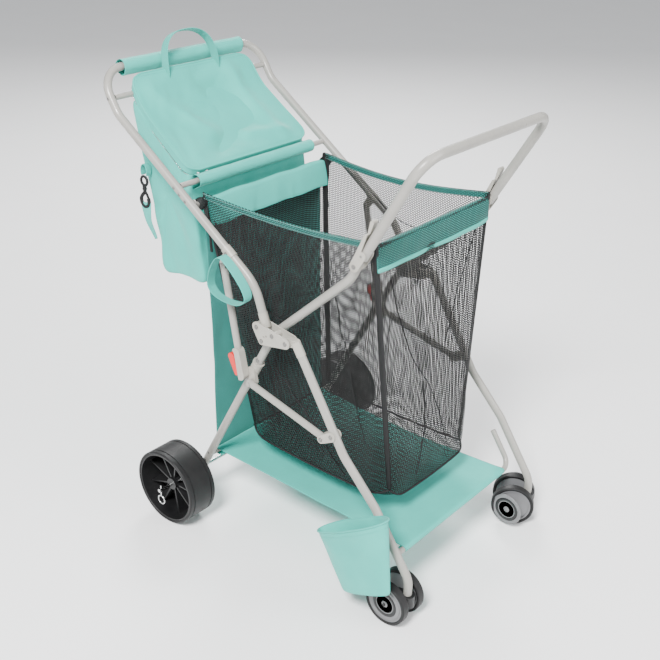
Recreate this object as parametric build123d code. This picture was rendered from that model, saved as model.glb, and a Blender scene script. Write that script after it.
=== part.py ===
from build123d import *
import math
import os

os.makedirs("parts", exist_ok=True)

# A folding beach cart. Millimetres. X runs from the big wheels to the casters, Z is up, Y = 0 is
# the middle plane. Side profiles are (x, z) points with x = 0 at the big wheels' axle; SHIFT moves
# the finished parts so that the origin is under the middle of the cart's box.

# Tubes
frame_tube_r = 9.5
frame_wall = 1.2
strut_tube_r = 8.0
cross_tube_r = 6.5
cross_wall = 1.0
handle_tube_r = 10.5
axle_r = 4.5
rivet_r = 2.5
rivet_head_r = 5.0
rivet_head = 1.8

# Layers across the cart, all measured from the middle plane
post_y = 225.0
layer_gap = 0.6
inner_plate = 3.0
outer_plate = 3.0

# Big wheels
wheel_r = 95.0
wheel_width = 80.0
wheel_gap = 50.0
tyre_depth = 7.0
tread_groove = 1.2
hub_bore_gap = 0.05
wheel_boss_r = 15.0

# Casters
caster_r = 52.0
caster_wheel_width = 20.0
caster_spread = 36.0
caster_trail = 33.0
caster_axle_r = 3.5
caster_yaw_left = 0.0
caster_yaw_right = 28.0
stem_gap = 0.1
stem_height = 20.0

# Posts: axle, hub corner, elbow and top
hub_corner = (247.0, 552.0)
elbow = (458.0, 746.0)
post_top_run = 49.0
post_top_angle = 66.0
post_bend = 90.0

# Rails, which carry the bag
rail_pivot = (230.0, 576.0)
rail_foot = (246.0, 580.0)
rail_foot_angle = 109.7
rail_foot_run = 92.0
rail_angle = 145.4
rail_run = 510.0
rail_head_angle = 122.6
rail_head_run = 104.0
rail_bend = 110.0
rail_head_bend = 60.0
rail_corner = 62.0
collar_at = 92.0
bag_bar_at = 38.0
lid_bar_at = 286.0
basket_bar_at = 236.0
basket_bar_drop = 13.0

# Front legs
leg_pivot = (313.0, 563.0)
leg_top = (333.0, 567.0)
leg_knee = (470.0, 345.0)
leg_hip = (560.0, 253.0)
leg_ankle = (657.0, 112.0)
leg_foot_run = 36.0
leg_bend = 90.0
ankle_bend = 50.0
front_bar_at = (606.0, 140.0)
front_bar_arm = 95.0
rear_bar_up = 52.0

# Struts and braces
strut_pivot_drop = 35.0
runner_at = 394.0
runner_length = 52.0
runner_wall = 3.2
brace_foot = 48.0
brace_foot_drop = 36.0

# Handle
handle_pivot = (490.0, 806.0)
handle_angle = 60.0
handle_run = 250.0
handle_tail = 9.0
handle_corner = 52.0

# Soft parts
cloth = 2.0
clear = 0.6
basket_rim_z = 798.0
basket_floor_z = 205.0
basket_floor_back = 82.0
basket_floor_front = 534.0
basket_floor_half = 158.0
bag_half = 200.0
bag_depth = 412.0
bag_foot_depth = 84.0
bag_waist_depth = 48.0
arch_rise = 112.0
arch_half = 72.0
hook_behind = 158.0
hook_below = 44.0
hook_ring_r = 11.0
hook_wire_r = 2.4
loop_long = 62.0
loop_high = 56.0
side_gap = 9.0
panel_half = 200.0
sleeve_half = 185.0
sleeve_r = 13.0
handle_strap_width = 25.0
pouch_mouth = (534.0, 224.0)
pouch_foot = (603.0, 84.0)
pouch_mouth_long = 108.0
pouch_mouth_wide = 32.0
pouch_foot_long = 70.0
pouch_foot_wide = 16.0
strap = 1.6


def at(point, angle, run):
    """The (x, z) point at a run from another, along an angle from +X towards +Z."""
    a = math.radians(angle)
    return (point[0] + run * math.cos(a), point[1] + run * math.sin(a))


def toward(a, b, run):
    """The (x, z) point at a run from a on the way to b."""
    return at(a, angle_of(a, b), run)


def angle_of(a, b):
    return math.degrees(math.atan2(b[1] - a[1], b[0] - a[0]))


# Layers that follow from the driving dimensions
plate_in = post_y + frame_tube_r + 0.4
plate_out = plate_in + inner_plate
rail_y = plate_out + layer_gap + frame_tube_r + 1.0
cover_in = rail_y + frame_tube_r + 1.0 + layer_gap
cover_out = cover_in + outer_plate
runner_face = rail_y - strut_tube_r - layer_gap

# Points that follow from the driving dimensions
axle = (0.0, wheel_r)
post_angle = angle_of(axle, hub_corner)
post_end = at(elbow, post_top_angle, post_top_run)
runner = at(axle, post_angle, runner_at)
rail_knee = at(rail_foot, rail_foot_angle, rail_foot_run)
rail_shoulder = at(rail_knee, rail_angle, rail_run)
rail_top = at(rail_shoulder, rail_head_angle, rail_head_run)
collar = at(rail_knee, rail_angle, collar_at)
strut_pivot = at(collar, rail_angle + 90, strut_pivot_drop)
bag_bar = at(rail_shoulder, rail_head_angle, bag_bar_at)
lid_bar = at(rail_knee, rail_angle, lid_bar_at)
basket_bar = at(at(rail_knee, rail_angle, basket_bar_at), rail_angle + 90, basket_bar_drop)
strut_end = (runner[0] - 17.0, runner[1] - 4.0)
brace_top = (runner[0] + 8.0, runner[1] - 24.0)
leg_angle = angle_of(leg_top, leg_knee)
brace_bottom = at(toward(leg_knee, leg_top, brace_foot), leg_angle - 90, brace_foot_drop)
joint_inside = post_y - handle_tube_r - layer_gap - 3.0
rear_bar = at(axle, post_angle, rear_bar_up)
leg_end = at(leg_ankle, -90.0, leg_foot_run)
handle_top = at(handle_pivot, handle_angle, handle_run)


def slab(face, y_low, y_high):
    """A side-profile sketch made solid between two distances from the middle plane."""
    return extrude(Plane.XZ.offset(-y_high) * face, y_high - y_low)


def disc(point, radius):
    return Pos(point[0], point[1]) * Circle(radius)


def bar_hull(points, radii):
    """The outline round a chain of discs: each two neighbours are joined by their tangents."""
    outline = None
    for (p, q), (r, s) in zip(zip(points, points[1:]), zip(radii, radii[1:])):
        link = make_hull([disc(p, r).edge(), disc(q, s).edge()])
        outline = link if outline is None else outline + link
    return outline


def pin(point, radius, y_low, y_high):
    return slab(disc(point, radius), y_low, y_high)


def bent_tube(points, bends, radius, wall):
    """A hollow tube along straight runs joined by arcs."""
    path = FilletPolyline(*[Vector(*p) for p in points], radius=bends)
    return hollow_sweep(path, radius, wall)


def hollow_sweep(path, radius, wall):
    start = Plane(origin=path @ 0, z_dir=path % 0)
    outer = sweep(start * Circle(radius), path=path)
    return outer - sweep(start * Circle(radius - wall), path=path)


def straight_tube(a, b, radius, wall):
    """A hollow tube between two points."""
    start = Plane(origin=a, z_dir=Vector(*b) - Vector(*a))
    length = (Vector(*b) - Vector(*a)).length
    return extrude(start * (Circle(radius) - Circle(radius - wall)), length)


def cross_bar(point, half, radius, wall):
    return straight_tube((point[0], -half, point[1]), (point[0], half, point[1]), radius, wall)


def side_points(points, y):
    return [(x, y, z) for x, z in points]


def rivet(point, y_low, y_high):
    """A rivet across the cart: its shank between two faces, and a low domed head outside."""
    shank = pin(point, rivet_r, y_low, y_high)
    head = slab(disc(point, rivet_head_r), y_high, y_high + rivet_head)
    return shank + fillet(head.edges().sort_by(Axis.Y)[-1], rivet_head * 0.6)


def drill(part, points, radius=rivet_r, y_low=0.0, y_high=400.0):
    for point in points:
        part -= pin(point, radius, y_low, y_high)
    return part


def left(part):
    return mirror(part, about=Plane.XZ)


def group(solids):
    return Compound(children=[s for part in solids for s in part.solids()])


# Posts, hubs and the bars between them

post_rivets = [at(hub_corner, post_angle, -6.0), at(hub_corner, angle_of(hub_corner, elbow), 16.0)]
hub_spacers = [at(rail_pivot, angle_of(rail_pivot, leg_pivot), 46.0)]


def post():
    profile = [at(axle, post_angle, -14.0), hub_corner, elbow, post_end]
    tube = bent_tube(side_points(profile, post_y), [post_bend] * 2, frame_tube_r, frame_wall)
    tube = drill(tube, [axle], axle_r + hub_bore_gap)
    tube = drill(tube, post_rivets)
    tube = drill(tube, [runner_stop])
    return drill(tube, [post_clamp])


def hub_bracket():
    """Two cheeks on the post's outer side, with a web and a spacer between them."""
    ends = [rail_pivot, leg_pivot]
    cheek = bar_hull(ends, [12.0, 12.0]) + bar_hull([ends[0], post_rivets[0]], [12.0, 9.0])
    cheek = cheek + bar_hull([post_rivets[0], leg_pivot], [9.0, 12.0])
    inner = slab(cheek, plate_in, plate_out)
    outer = slab(cheek, cover_in, cover_out)
    spacer = slab(disc(hub_spacers[0], 7.0), plate_out, cover_in)
    bracket = inner + outer + spacer
    bracket = drill(bracket, [rail_pivot, leg_pivot], rivet_r + hub_bore_gap)
    return drill(bracket, [post_rivets[0], post_rivets[1], hub_spacers[0]])


def chassis_rivets():
    post_in = post_y - frame_tube_r
    side = [rivet(p, post_in, cover_out) for p in post_rivets[:1]]
    side.append(rivet(post_rivets[1], post_in, plate_out))
    side += [rivet(p, plate_in, cover_out) for p in (rail_pivot, leg_pivot, hub_spacers[0])]
    side.append(rivet(runner_stop, post_in, post_y + frame_tube_r))
    return side + [left(r) for r in side]


def axle_rod():
    half = post_y + wheel_gap + wheel_width + 16.0
    rod = pin(axle, axle_r, -half, half)
    for side in (-1, 1):
        hole = Pos(axle[0], side * (half - 6.0), axle[1]) * Cylinder(cotter_r + 0.1, 40.0)
        rod -= hole
    return rod


# Runners

runner_stop = at(runner, post_angle, runner_length / 2 + 10.0)


def runner_collar():
    """A sleeve on the post with a lip on top and an ear that meets the brace."""
    start = at(runner, post_angle, -runner_length / 2)
    plane = Plane(origin=(start[0], post_y, start[1]), z_dir=post_direction())
    outer_r = frame_tube_r + runner_wall
    body = extrude(plane * Circle(outer_r), runner_length)
    lip = extrude(plane.offset(runner_length - 4.0) * Circle(outer_r + 1.2), 4.0)
    ear = slab(bar_hull([runner, brace_top], [11.0, 8.0]), post_y + 6.0, runner_face)
    bore = extrude(plane.offset(-20.0) * Circle(frame_tube_r + 0.15), runner_length + 40.0)
    return body + lip + ear - bore


def post_direction():
    a = math.radians(post_angle)
    return (math.cos(a), 0.0, math.sin(a))


# Rail frame

def rail_tube():
    profile = [rail_foot, rail_knee, rail_shoulder, rail_top]
    near = side_points(profile, -rail_y)
    far = side_points(profile[::-1], rail_y)
    bends = [rail_bend, rail_head_bend, rail_corner]
    tube = bent_tube(near + far, bends + bends[::-1], frame_tube_r, frame_wall)
    for side in (-1, 1):
        low, high = sorted((side * (rail_y - 20), side * (rail_y + 20)))
        tube -= pin(collar, rivet_r, low, high)
    return tube


def rail_end():
    """A cup on the rail's foot with a lug out to its pivot."""
    cup_top = at(rail_foot, rail_foot_angle, 30.0)
    cup = rail_cup(rail_foot, cup_top, rail_y)
    lug = slab(bar_hull([rail_pivot, rail_foot], [10.0, 8.0]), rail_y - 7.0, rail_y + 7.0)
    lug -= rail_cup(rail_foot, at(cup_top, rail_foot_angle, 40.0), rail_y, frame_tube_r, 0.0)
    return drill(cup + lug, [rail_pivot], rivet_r + hub_bore_gap)


def rail_cup(a, b, y, bore=frame_tube_r, wall=1.0):
    """A cup round a tube's end, closed below a."""
    axis = (b[0] - a[0], 0.0, b[1] - a[1])
    length = math.dist(a, b)
    plane = Plane(origin=(a[0], y, a[1]), z_dir=axis)
    if wall == 0.0:
        return extrude(plane * Circle(bore), length)
    body = extrude(plane.offset(-2.5) * Circle(bore + wall), length + 2.5)
    return body - extrude(plane * Circle(bore), length)


def leg_end_fitting():
    """A cup on the leg's top with a lug back to its pivot."""
    down = toward(leg_top, leg_knee, 30.0)
    cup = rail_cup(leg_top, down, rail_y)
    lug = slab(bar_hull([leg_pivot, leg_top], [10.0, 8.0]), rail_y - 7.0, rail_y + 7.0)
    lug -= rail_cup(leg_top, toward(leg_top, leg_knee, 70.0), rail_y, frame_tube_r, 0.0)
    return drill(cup + lug, [leg_pivot], rivet_r + hub_bore_gap)


def strut_collar():
    """A sleeve on the rail with a lug down to the strut's pivot, inside the strut's end."""
    start = at(collar, rail_angle, -14.0)
    plane = Plane(origin=(start[0], rail_y, start[1]), z_dir=rail_direction())
    body = extrude(plane * Circle(frame_tube_r + 2.0), 28.0)
    lug = slab(bar_hull([collar, strut_pivot], [12.0, 9.0]), rail_y - 3.0, rail_y + 3.0)
    bore = extrude(plane.offset(-10) * Circle(frame_tube_r), 48.0)
    return drill(body + lug - bore, [strut_pivot, collar])


def rail_direction():
    a = math.radians(rail_angle)
    return (math.cos(a), 0.0, math.sin(a))


def rail_rivets():
    side = [rivet(collar, rail_y - frame_tube_r - 2.0, rail_y + frame_tube_r + 2.0)]
    side.append(pin(strut_pivot, rivet_r, rail_y - 8.0, rail_y + 8.0))
    return side + [left(r) for r in side]


def rail_bar(point):
    """A cross bar between the rails' inner sides."""
    return cross_bar(point, rail_y - frame_tube_r - 0.05, cross_tube_r, cross_wall)


def basket_bar_tube():
    """The bar that the basket's back edge hangs from, on two tabs below the rails."""
    foot = at(rail_knee, rail_angle, basket_bar_at)
    tab = slab(bar_hull([foot, basket_bar], [6.0, 8.0]),
               rail_y - frame_tube_r - 4.0, rail_y - frame_tube_r - 0.1)
    bar = cross_bar(basket_bar, rail_y - frame_tube_r - 4.0, cross_tube_r, cross_wall)
    return bar + tab + left(tab)


# Struts with their latch housings and levers

strut_angle = angle_of(strut_pivot, strut_end)
housing_top = at(strut_end, strut_angle, -50.0)
housing_low = at(strut_end, strut_angle, 5.0)
lever_pivot = at(at(strut_end, strut_angle, 2.0), strut_angle - 90, 12.0)


def strut_tube():
    """A tube whose flattened upper end straddles the collar's lug."""
    a = at(strut_pivot, strut_angle, -8.0)
    b = at(strut_end, strut_angle, -12.0)
    tube = straight_tube((a[0], rail_y, a[1]), (b[0], rail_y, b[1]), strut_tube_r, frame_wall)
    slot = slab(disc(strut_pivot, 14.0), rail_y - 3.3, rail_y + 3.3)
    relief = slab(disc(collar, 20.0) & bar_hull([strut_pivot, collar], [14.0, 14.0]),
                  rail_y - 14.0, rail_y + 14.0)
    return drill(tube - slot - relief, [strut_pivot], rivet_r + hub_bore_gap)


def latch_housing():
    """A long shell round the strut's lower end, with a slot at the back for its lever."""
    shell = slab(bar_hull([housing_top, housing_low], [11.0, 12.5]),
                 rail_y - strut_tube_r - 0.1, rail_y + strut_tube_r + 2.0)
    a = at(housing_top, strut_angle, -20.0)
    b = at(strut_end, strut_angle, -12.0)
    core = rail_cup((a[0], a[1]), (b[0], b[1]), rail_y, strut_tube_r, 0.0)
    back = at(lever_pivot, strut_angle - 90, 4.0)
    slot = slab(bar_hull([at(back, strut_angle, -48.0), at(back, strut_angle, 12.0)], [9.5, 9.5]),
                rail_y - 5.6, rail_y + strut_tube_r + 2.5)
    return shell - core - slot


def latch_lever():
    """A red finger lever in the housing's slot, open to the outside."""
    grip = at(at(lever_pivot, strut_angle, -40.0), strut_angle - 90, 7.0)
    return slab(bar_hull([lever_pivot, grip], [4.8, 9.0]), rail_y - 5.0, rail_y + strut_tube_r + 1.2)


# Front frame

def front_leg():
    profile = [leg_top, leg_knee, leg_hip, leg_ankle, leg_end]
    bends = [leg_bend, leg_bend, ankle_bend]
    tube = bent_tube(side_points(profile, rail_y), bends, frame_tube_r, frame_wall)
    return drill(tube, brace_rivets)


leg_low_angle = angle_of(leg_hip, leg_ankle)
brace_rivets = [at(toward(leg_knee, leg_top, brace_foot), leg_angle - 90, 3.0)]


def front_bar():
    """A bent bar whose arms run up along the legs' inner sides."""
    arm_y = rail_y - frame_tube_r - cross_tube_r - 0.3
    arm = at(front_bar_at, leg_low_angle + 180, front_bar_arm)
    points = [(arm[0], -arm_y, arm[1]), (front_bar_at[0], -arm_y, front_bar_at[1]),
              (front_bar_at[0], arm_y, front_bar_at[1]), (arm[0], arm_y, arm[1])]
    return bent_tube(points, [26.0, 26.0], cross_tube_r, cross_wall)


def brace_bracket():
    """A pair of cheeks on the leg that hold the brace's lower end."""
    cheek = bar_hull([brace_rivets[0], brace_bottom], [11.0, 9.0])
    solid = slab(cheek, rail_y - frame_tube_r - 2.4, rail_y - frame_tube_r - 0.1)
    solid += slab(cheek, rail_y + frame_tube_r + 0.1, rail_y + frame_tube_r + 2.4)
    return drill(solid, [brace_rivets[0], brace_bottom])


def front_rivets():
    low, high = rail_y - frame_tube_r - 2.4, rail_y + frame_tube_r + 2.4
    side = [rivet(brace_rivets[0], low, high), rivet(brace_bottom, low, high)]
    return side + [left(r) for r in side]


def brace():
    """A straight tube from the runner's ear to the bracket on the leg."""
    angle = angle_of(brace_top, brace_bottom)
    a, b = at(brace_top, angle, -7.0), at(brace_bottom, angle, 9.0)
    tube = straight_tube((a[0], rail_y, a[1]), (b[0], rail_y, b[1]), strut_tube_r, frame_wall)
    plug = pin(brace_top, 5.0, rail_y - strut_tube_r + 0.4, rail_y + strut_tube_r + 1.5)
    return drill(tube + plug, [brace_bottom], rivet_r + hub_bore_gap)


# Handle and its joints

post_clamp = at(post_end, post_top_angle, -12.0)


def handle_bar():
    low = at(handle_pivot, handle_angle, -handle_tail)
    near = [(low[0], -post_y, low[1]), (handle_top[0], -post_y, handle_top[1])]
    points = near + [(x, -y, z) for x, y, z in near[::-1]]
    tube = bent_tube(points, [handle_corner] * 2, handle_tube_r, frame_wall)
    for side in (-1, 1):
        low_y, high_y = sorted((side * (post_y - 20), side * (post_y + 20)))
        tube -= pin(handle_pivot, 3.0 + hub_bore_gap, low_y, high_y)
    return tube


spine_top = at(at(handle_pivot, handle_angle, 44.0), handle_angle + 90, handle_tube_r + 4.0)


def handle_joint():
    """A socket on the post's top with two ears at the handle's pivot and a spine behind it."""
    ear_in = handle_tube_r + layer_gap
    ear = bar_hull([handle_pivot, post_clamp], [10.0, 11.0])
    spine_low = at(post_clamp, post_top_angle + 90, 3.0)
    spine = bar_hull([spine_low, spine_top], [7.0, 3.0])
    body = slab(ear + spine, post_y - ear_in - 3.0, post_y + ear_in + 3.0)
    gap_angle = handle_angle
    gap = bar_hull([handle_pivot, at(handle_pivot, gap_angle, 90.0)],
                   [handle_tube_r + 4.0, handle_tube_r + layer_gap])
    gap += bar_hull([handle_pivot, at(handle_pivot, -70.0, 60.0)], [handle_tube_r + 4.0] * 2)
    body -= slab(gap, post_y - ear_in, post_y + ear_in)
    socket = rail_cup(elbow, post_end, post_y, frame_tube_r, 0.0)
    body -= socket
    body = drill(body, [post_clamp])
    return drill(body, [handle_pivot], 3.0)


def handle_pins():
    """The pivot pins of the handle and the rivets that hold the sockets on the posts."""
    half = handle_tube_r + layer_gap + 3.0
    side = [pin(handle_pivot, 3.0, post_y - half, post_y + half)]
    side.append(rivet(post_clamp, post_y - half, post_y + half))
    return side + [left(r) for r in side]


def handle_latch():
    """A hooked finger piece behind the handle, over the joint's spine."""
    hinge = at(spine_top, handle_angle, 6.6)
    tip = at(hinge, handle_angle + 14.0, 22.0)
    return slab(bar_hull([hinge, tip], [3.0, 4.5]), post_y - 7.0, post_y + 7.0)


def front_basket_bar():
    """The bar between the two handle joints that the basket's front edge hangs from."""
    return cross_bar(handle_pivot, joint_inside, cross_tube_r, cross_wall)


# Wheels

wheel_in = post_y + wheel_gap
wheel_mid = wheel_in + wheel_width / 2
cotter_r = 1.6


def big_tyre():
    tread = Rectangle(tyre_depth, wheel_width).face()
    tread = fillet(tread.vertices(), 0.45 * tyre_depth)
    ring = Pos(wheel_r - tyre_depth / 2, 0) * tread
    body = revolve(Plane.XY * ring, Axis.Y)
    groove = revolve(Pos(wheel_r, 0) * Rectangle(2 * tread_groove, 3.0), Axis.Y)
    for offset in (-0.34 * wheel_width, 0.34 * wheel_width):
        body -= Pos(0, offset, 0) * groove
    return Pos(axle[0], wheel_mid, axle[1]) * body


def big_hub():
    """A barrel rim, a dished web with ribs, and a long boss on the axle."""
    rim_r = wheel_r - tyre_depth
    half = wheel_width / 2
    rim = Rot(90, 0, 0) * (Cylinder(rim_r, wheel_width - 4.0) - Cylinder(rim_r - 3.0, wheel_width))
    web = Pos(0, -half + 18.0, 0) * Rot(90, 0, 0) * Cylinder(rim_r - 2.0, 4.0)
    boss = Pos(0, -0.14 * wheel_width, 0) * Rot(90, 0, 0) * Cylinder(wheel_boss_r, 0.7 * wheel_width)
    rib = Pos((rim_r - 2.0) / 2, -half + 34.0, 0) * Box(rim_r - 2.0, 32.0, 4.0)
    body = rim + web + boss
    for i in range(9):
        body += Rot(0, 40.0 * i, 0) * rib
    body -= Rot(90, 0, 0) * Cylinder(axle_r + hub_bore_gap, wheel_width + 10.0)
    return Pos(axle[0], wheel_mid, axle[1]) * body


def cotter():
    """A ring pin through the axle outside the wheel."""
    y = post_y + wheel_gap + wheel_width + 10.0
    shank = Pos(axle[0], y, axle[1] - 2.0) * Cylinder(cotter_r, 30.0)
    ring = Pos(axle[0], y, axle[1] - 28.0) * Rot(90, 0, 0) * Torus(11.0, cotter_r)
    return shank + ring


# Casters

caster_axle = (leg_end[0] - caster_trail, caster_r)
caster_half = caster_spread / 2 + caster_wheel_width + 2.5


def turned(part, yaw):
    """A caster part, made on the middle plane, turned about its stem under the leg's end."""
    return Pos(leg_end[0], rail_y, 0) * Rot(0, 0, yaw) * Pos(-leg_end[0], 0, 0) * part


def caster_fork():
    """A stem in the leg's end, a crown under it and an arm between the two wheels."""
    half = caster_spread / 2 - 1.5
    stem_r = frame_tube_r - frame_wall - stem_gap
    crown_top = leg_end[1] - 0.8
    crown_low = caster_r - 6.0
    arm = slab(bar_hull([caster_axle, (leg_end[0] - 4.0, caster_r + 4.0)], [12.0, 15.0]), -half, half)
    crown = Pos(leg_end[0], 0, crown_low) * extrude(Circle(half), crown_top - crown_low)
    stem = Pos(leg_end[0], 0, crown_low) * extrude(Circle(stem_r), leg_end[1] + stem_height - crown_low)
    bolt = pin(caster_axle, caster_axle_r, -caster_half, caster_half)
    return arm + crown + stem + bolt


def caster_tyre(side):
    y = side * (caster_spread / 2 + caster_wheel_width / 2)
    ring = Pos(caster_r - 4.0, 0) * fillet(Rectangle(8.0, caster_wheel_width).vertices(), 3.0)
    return Pos(caster_axle[0], y, caster_r) * revolve(ring, Axis.Y)


def caster_hub(side):
    y = side * (caster_spread / 2 + caster_wheel_width / 2)
    rim = caster_r - 8.0
    body = Cylinder(rim, caster_wheel_width - 4.0)
    dish = Pos(0, 0, caster_wheel_width / 2 - 2.0) * (Cylinder(rim - 4.0, 5.0) - Cylinder(9.0, 6.0))
    body -= dish
    body -= Cylinder(caster_axle_r + hub_bore_gap, caster_wheel_width + 10.0)
    turn = Rot(-90, 0, 0) if side > 0 else Rot(90, 0, 0)
    return Pos(caster_axle[0], y, caster_r) * turn * body


# Soft parts

def rim_box(x_low, x_high, half, z):
    middle = (x_low + x_high) / 2
    return Pos(middle, 0, z) * Rectangle(x_high - x_low, 2 * half)


def basket():
    """A mesh basket: four leaning walls and a floor, open at the top."""
    half = joint_inside - 1.5
    back = basket_bar[0] + cross_tube_r + clear
    front = handle_pivot[0] + 8.0
    outer = loft([rim_box(basket_floor_back, basket_floor_front, basket_floor_half, basket_floor_z),
                  rim_box(back, front, half, basket_rim_z)])
    inner = loft([rim_box(basket_floor_back + cloth, basket_floor_front - cloth,
                          basket_floor_half - cloth, basket_floor_z + cloth),
                  rim_box(back + cloth, front - cloth, half - cloth, basket_rim_z + 0.01)])
    return outer - inner


def back_panel():
    top = (basket_bar[0] - 1.0, basket_bar[1] - cross_tube_r - clear)
    low = (rear_bar[0] + 2.0, rear_bar[1] + cross_tube_r + clear)
    outline = Polyline(top, (top[0] + cloth, top[1]), (low[0] + cloth, low[1]), low, close=True)
    return slab(make_face(outline), -panel_half, panel_half)


def bottom_sheet():
    back = rear_bar[0] + cross_tube_r + clear
    front = front_bar_at[0] - cross_tube_r - clear
    z = front_bar_at[1]
    return Pos((back + front) / 2, 0, z) * Box(front - back, 2 * panel_half, cloth)


def sleeve(point, bar_r):
    ring = Circle(sleeve_r) - Circle(bar_r + 0.2)
    return Pos(point[0], sleeve_half, point[1]) * Rot(90, 0, 0) * extrude(ring, 2 * sleeve_half)


def tote_bag():
    """A wedge-shaped bag hung between the rails."""
    under = (bag_bar[0] + cross_tube_r + clear, bag_bar[1] - cross_tube_r - clear)
    behind = (bag_bar[0] - cross_tube_r - clear, bag_bar[1] - cross_tube_r - clear)
    lid_low = at(lid_bar, rail_angle, sleeve_r + 5.0)
    low = bag_bar[1] - bag_depth
    outline = Polyline(under, lid_low, (lid_bar[0] - 16.0, lid_bar[1] - 17.0),
                       (lid_bar[0] + 22.0, low), (behind[0] + bag_foot_depth, low - 6.0),
                       (behind[0] + bag_waist_depth, bag_bar[1] - 0.5 * bag_depth), behind,
                       close=True)
    return slab(make_face(outline), -bag_half, bag_half)


def bag_straps():
    """The carry handle's arch over the top bar, and the short straps at the bag's side."""
    arch_x = rail_top[0] + sleeve_r + 1.0
    base_z = bag_bar[1] + cross_tube_r + 1.0
    ring = Ellipse(arch_half, arch_rise) - Ellipse(arch_half - strap, arch_rise - strap)
    ring -= Pos(0, -arch_rise / 2) * Rectangle(3 * arch_half, arch_rise)
    arch = extrude(Plane.YZ * ring, handle_strap_width)
    return [Pos(arch_x, 0, base_z) * arch, side_strap()]


hook_y = -(bag_half + side_gap)
hook_at = (lid_bar[0] - hook_behind, lid_bar[1] - hook_below)


def snap_hook():
    """A ring with a shank below it, beside the bag."""
    shank_long = 20.0
    ring = Pos(hook_at[0], hook_y, hook_at[1]) * Rot(90, 0, 0) * Torus(hook_ring_r, hook_wire_r)
    shank = Cylinder(hook_wire_r + 0.8, shank_long)
    return ring + Pos(hook_at[0], hook_y, hook_at[1] - hook_ring_r - 0.45 * shank_long) * shank


def side_strap():
    """A tapered tab below the hook."""
    top = (hook_at[0], hook_at[1] - 34.0)
    low = (top[0] + 22.0, top[1] - 92.0)
    outline = Polyline((top[0] - 12, top[1]), (top[0] + 12, top[1]), (low[0] + 8, low[1]),
                       (low[0] - 8, low[1]), close=True)
    return slab(make_face(outline), hook_y, hook_y + strap)


def umbrella_loop():
    """A webbing ring that hangs outside the left rail."""
    centre = (collar[0] + 28.0, collar[1] - 44.0)
    hole = Ellipse(loop_long - cloth, loop_high - cloth)
    ring = Pos(*centre) * (Ellipse(loop_long, loop_high) - hole)
    out = rail_y + frame_tube_r + 6.0
    return slab(ring, -(out + handle_strap_width), -out)


def umbrella_pouch():
    """A tapered pocket outside the left leg, open at the top."""
    tilt = angle_of(pouch_foot, pouch_mouth) - 90
    depth = math.dist(pouch_mouth, pouch_foot)
    inside = rail_y + frame_tube_r + 3.0
    mouth_y = -(inside + pouch_mouth_wide)
    foot_y = -(rail_y + caster_half + 6.0 + pouch_foot_wide) - mouth_y

    def section(run, half_long, half_wide, y):
        return Pos(0, y, run) * Ellipse(half_long, half_wide)
    outer = loft([section(0, pouch_foot_long, pouch_foot_wide, foot_y),
                  section(depth, pouch_mouth_long, pouch_mouth_wide, 0)])
    inner = loft([section(cloth, pouch_foot_long - cloth, pouch_foot_wide - cloth, foot_y),
                  section(depth + 0.01, pouch_mouth_long - cloth, pouch_mouth_wide - cloth, 0)])
    return Pos(pouch_foot[0], mouth_y, pouch_foot[1]) * Rot(0, -tilt, 0) * (outer - inner)


def pair(parts, name, right):
    parts[name + "_right"] = right
    parts[name + "_left"] = left(right)


def cart():
    """Every node of the cart by name, in the profile's own place."""
    parts = {}
    pair(parts, "post", post())
    pair(parts, "runner", runner_collar())
    pair(parts, "strut", strut_tube())
    pair(parts, "latch_housing", latch_housing())
    pair(parts, "latch_lever", latch_lever())
    pair(parts, "brace", brace())
    pair(parts, "front_leg", front_leg())
    pair(parts, "handle_joint", handle_joint())
    pair(parts, "handle_latch", handle_latch())
    pair(parts, "wheel_tyre", big_tyre())
    pair(parts, "wheel_hub", big_hub())
    pair(parts, "wheel_pin", cotter())
    for name, make in (("hub_brackets", hub_bracket), ("rail_ends", rail_end),
                       ("leg_ends", leg_end_fitting), ("strut_collars", strut_collar),
                       ("brace_brackets", brace_bracket)):
        right = make()
        parts[name] = group([right, left(right)])
    parts["chassis_rivets"] = group(chassis_rivets() + handle_pins())
    parts["rail_rivets"] = group(rail_rivets())
    parts["front_rivets"] = group(front_rivets())
    parts["axle_rod"] = axle_rod()
    parts["rear_bar"] = cross_bar(rear_bar, post_y - frame_tube_r, cross_tube_r, cross_wall)
    parts["rail_tube"] = rail_tube()
    parts["bag_bar"] = rail_bar(bag_bar)
    parts["lid_bar"] = rail_bar(lid_bar)
    parts["basket_back_bar"] = basket_bar_tube()
    parts["basket_front_bar"] = front_basket_bar()
    parts["front_bar"] = front_bar()
    parts["handle_bar"] = handle_bar()
    for side, yaw in (("right", caster_yaw_right), ("left", -caster_yaw_left)):
        caster = {"caster_fork_" + side: caster_fork()}
        for way, sign in (("outer", 1), ("inner", -1)):
            caster[f"caster_tyre_{side}_{way}"] = caster_tyre(sign)
            caster[f"caster_hub_{side}_{way}"] = caster_hub(sign)
        for name, part in caster.items():
            placed = turned(part, yaw)
            parts[name] = placed if side == "right" else left(placed)
    parts["basket"] = basket()
    parts["back_panel"] = back_panel()
    parts["bottom_sheet"] = bottom_sheet()
    parts["bar_sleeves"] = group([sleeve(rail_top, frame_tube_r), sleeve(lid_bar, cross_tube_r)])
    parts["tote_bag"] = tote_bag()
    parts["bag_straps"] = group(bag_straps())
    parts["snap_hook"] = snap_hook()
    parts["umbrella_loop"] = umbrella_loop()
    parts["umbrella_pouch"] = umbrella_pouch()
    return parts


nodes = cart()
box = Compound(children=[s for part in nodes.values() for s in part.solids()]).bounding_box()
to_middle = -(box.min.X + box.max.X) / 2
for name, part in nodes.items():
    export_step(Pos(to_middle, 0, 0) * part, f"parts/{name}.step")
print("nodes", len(nodes), "size", box.size, "shift", round(to_middle, 3))
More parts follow.
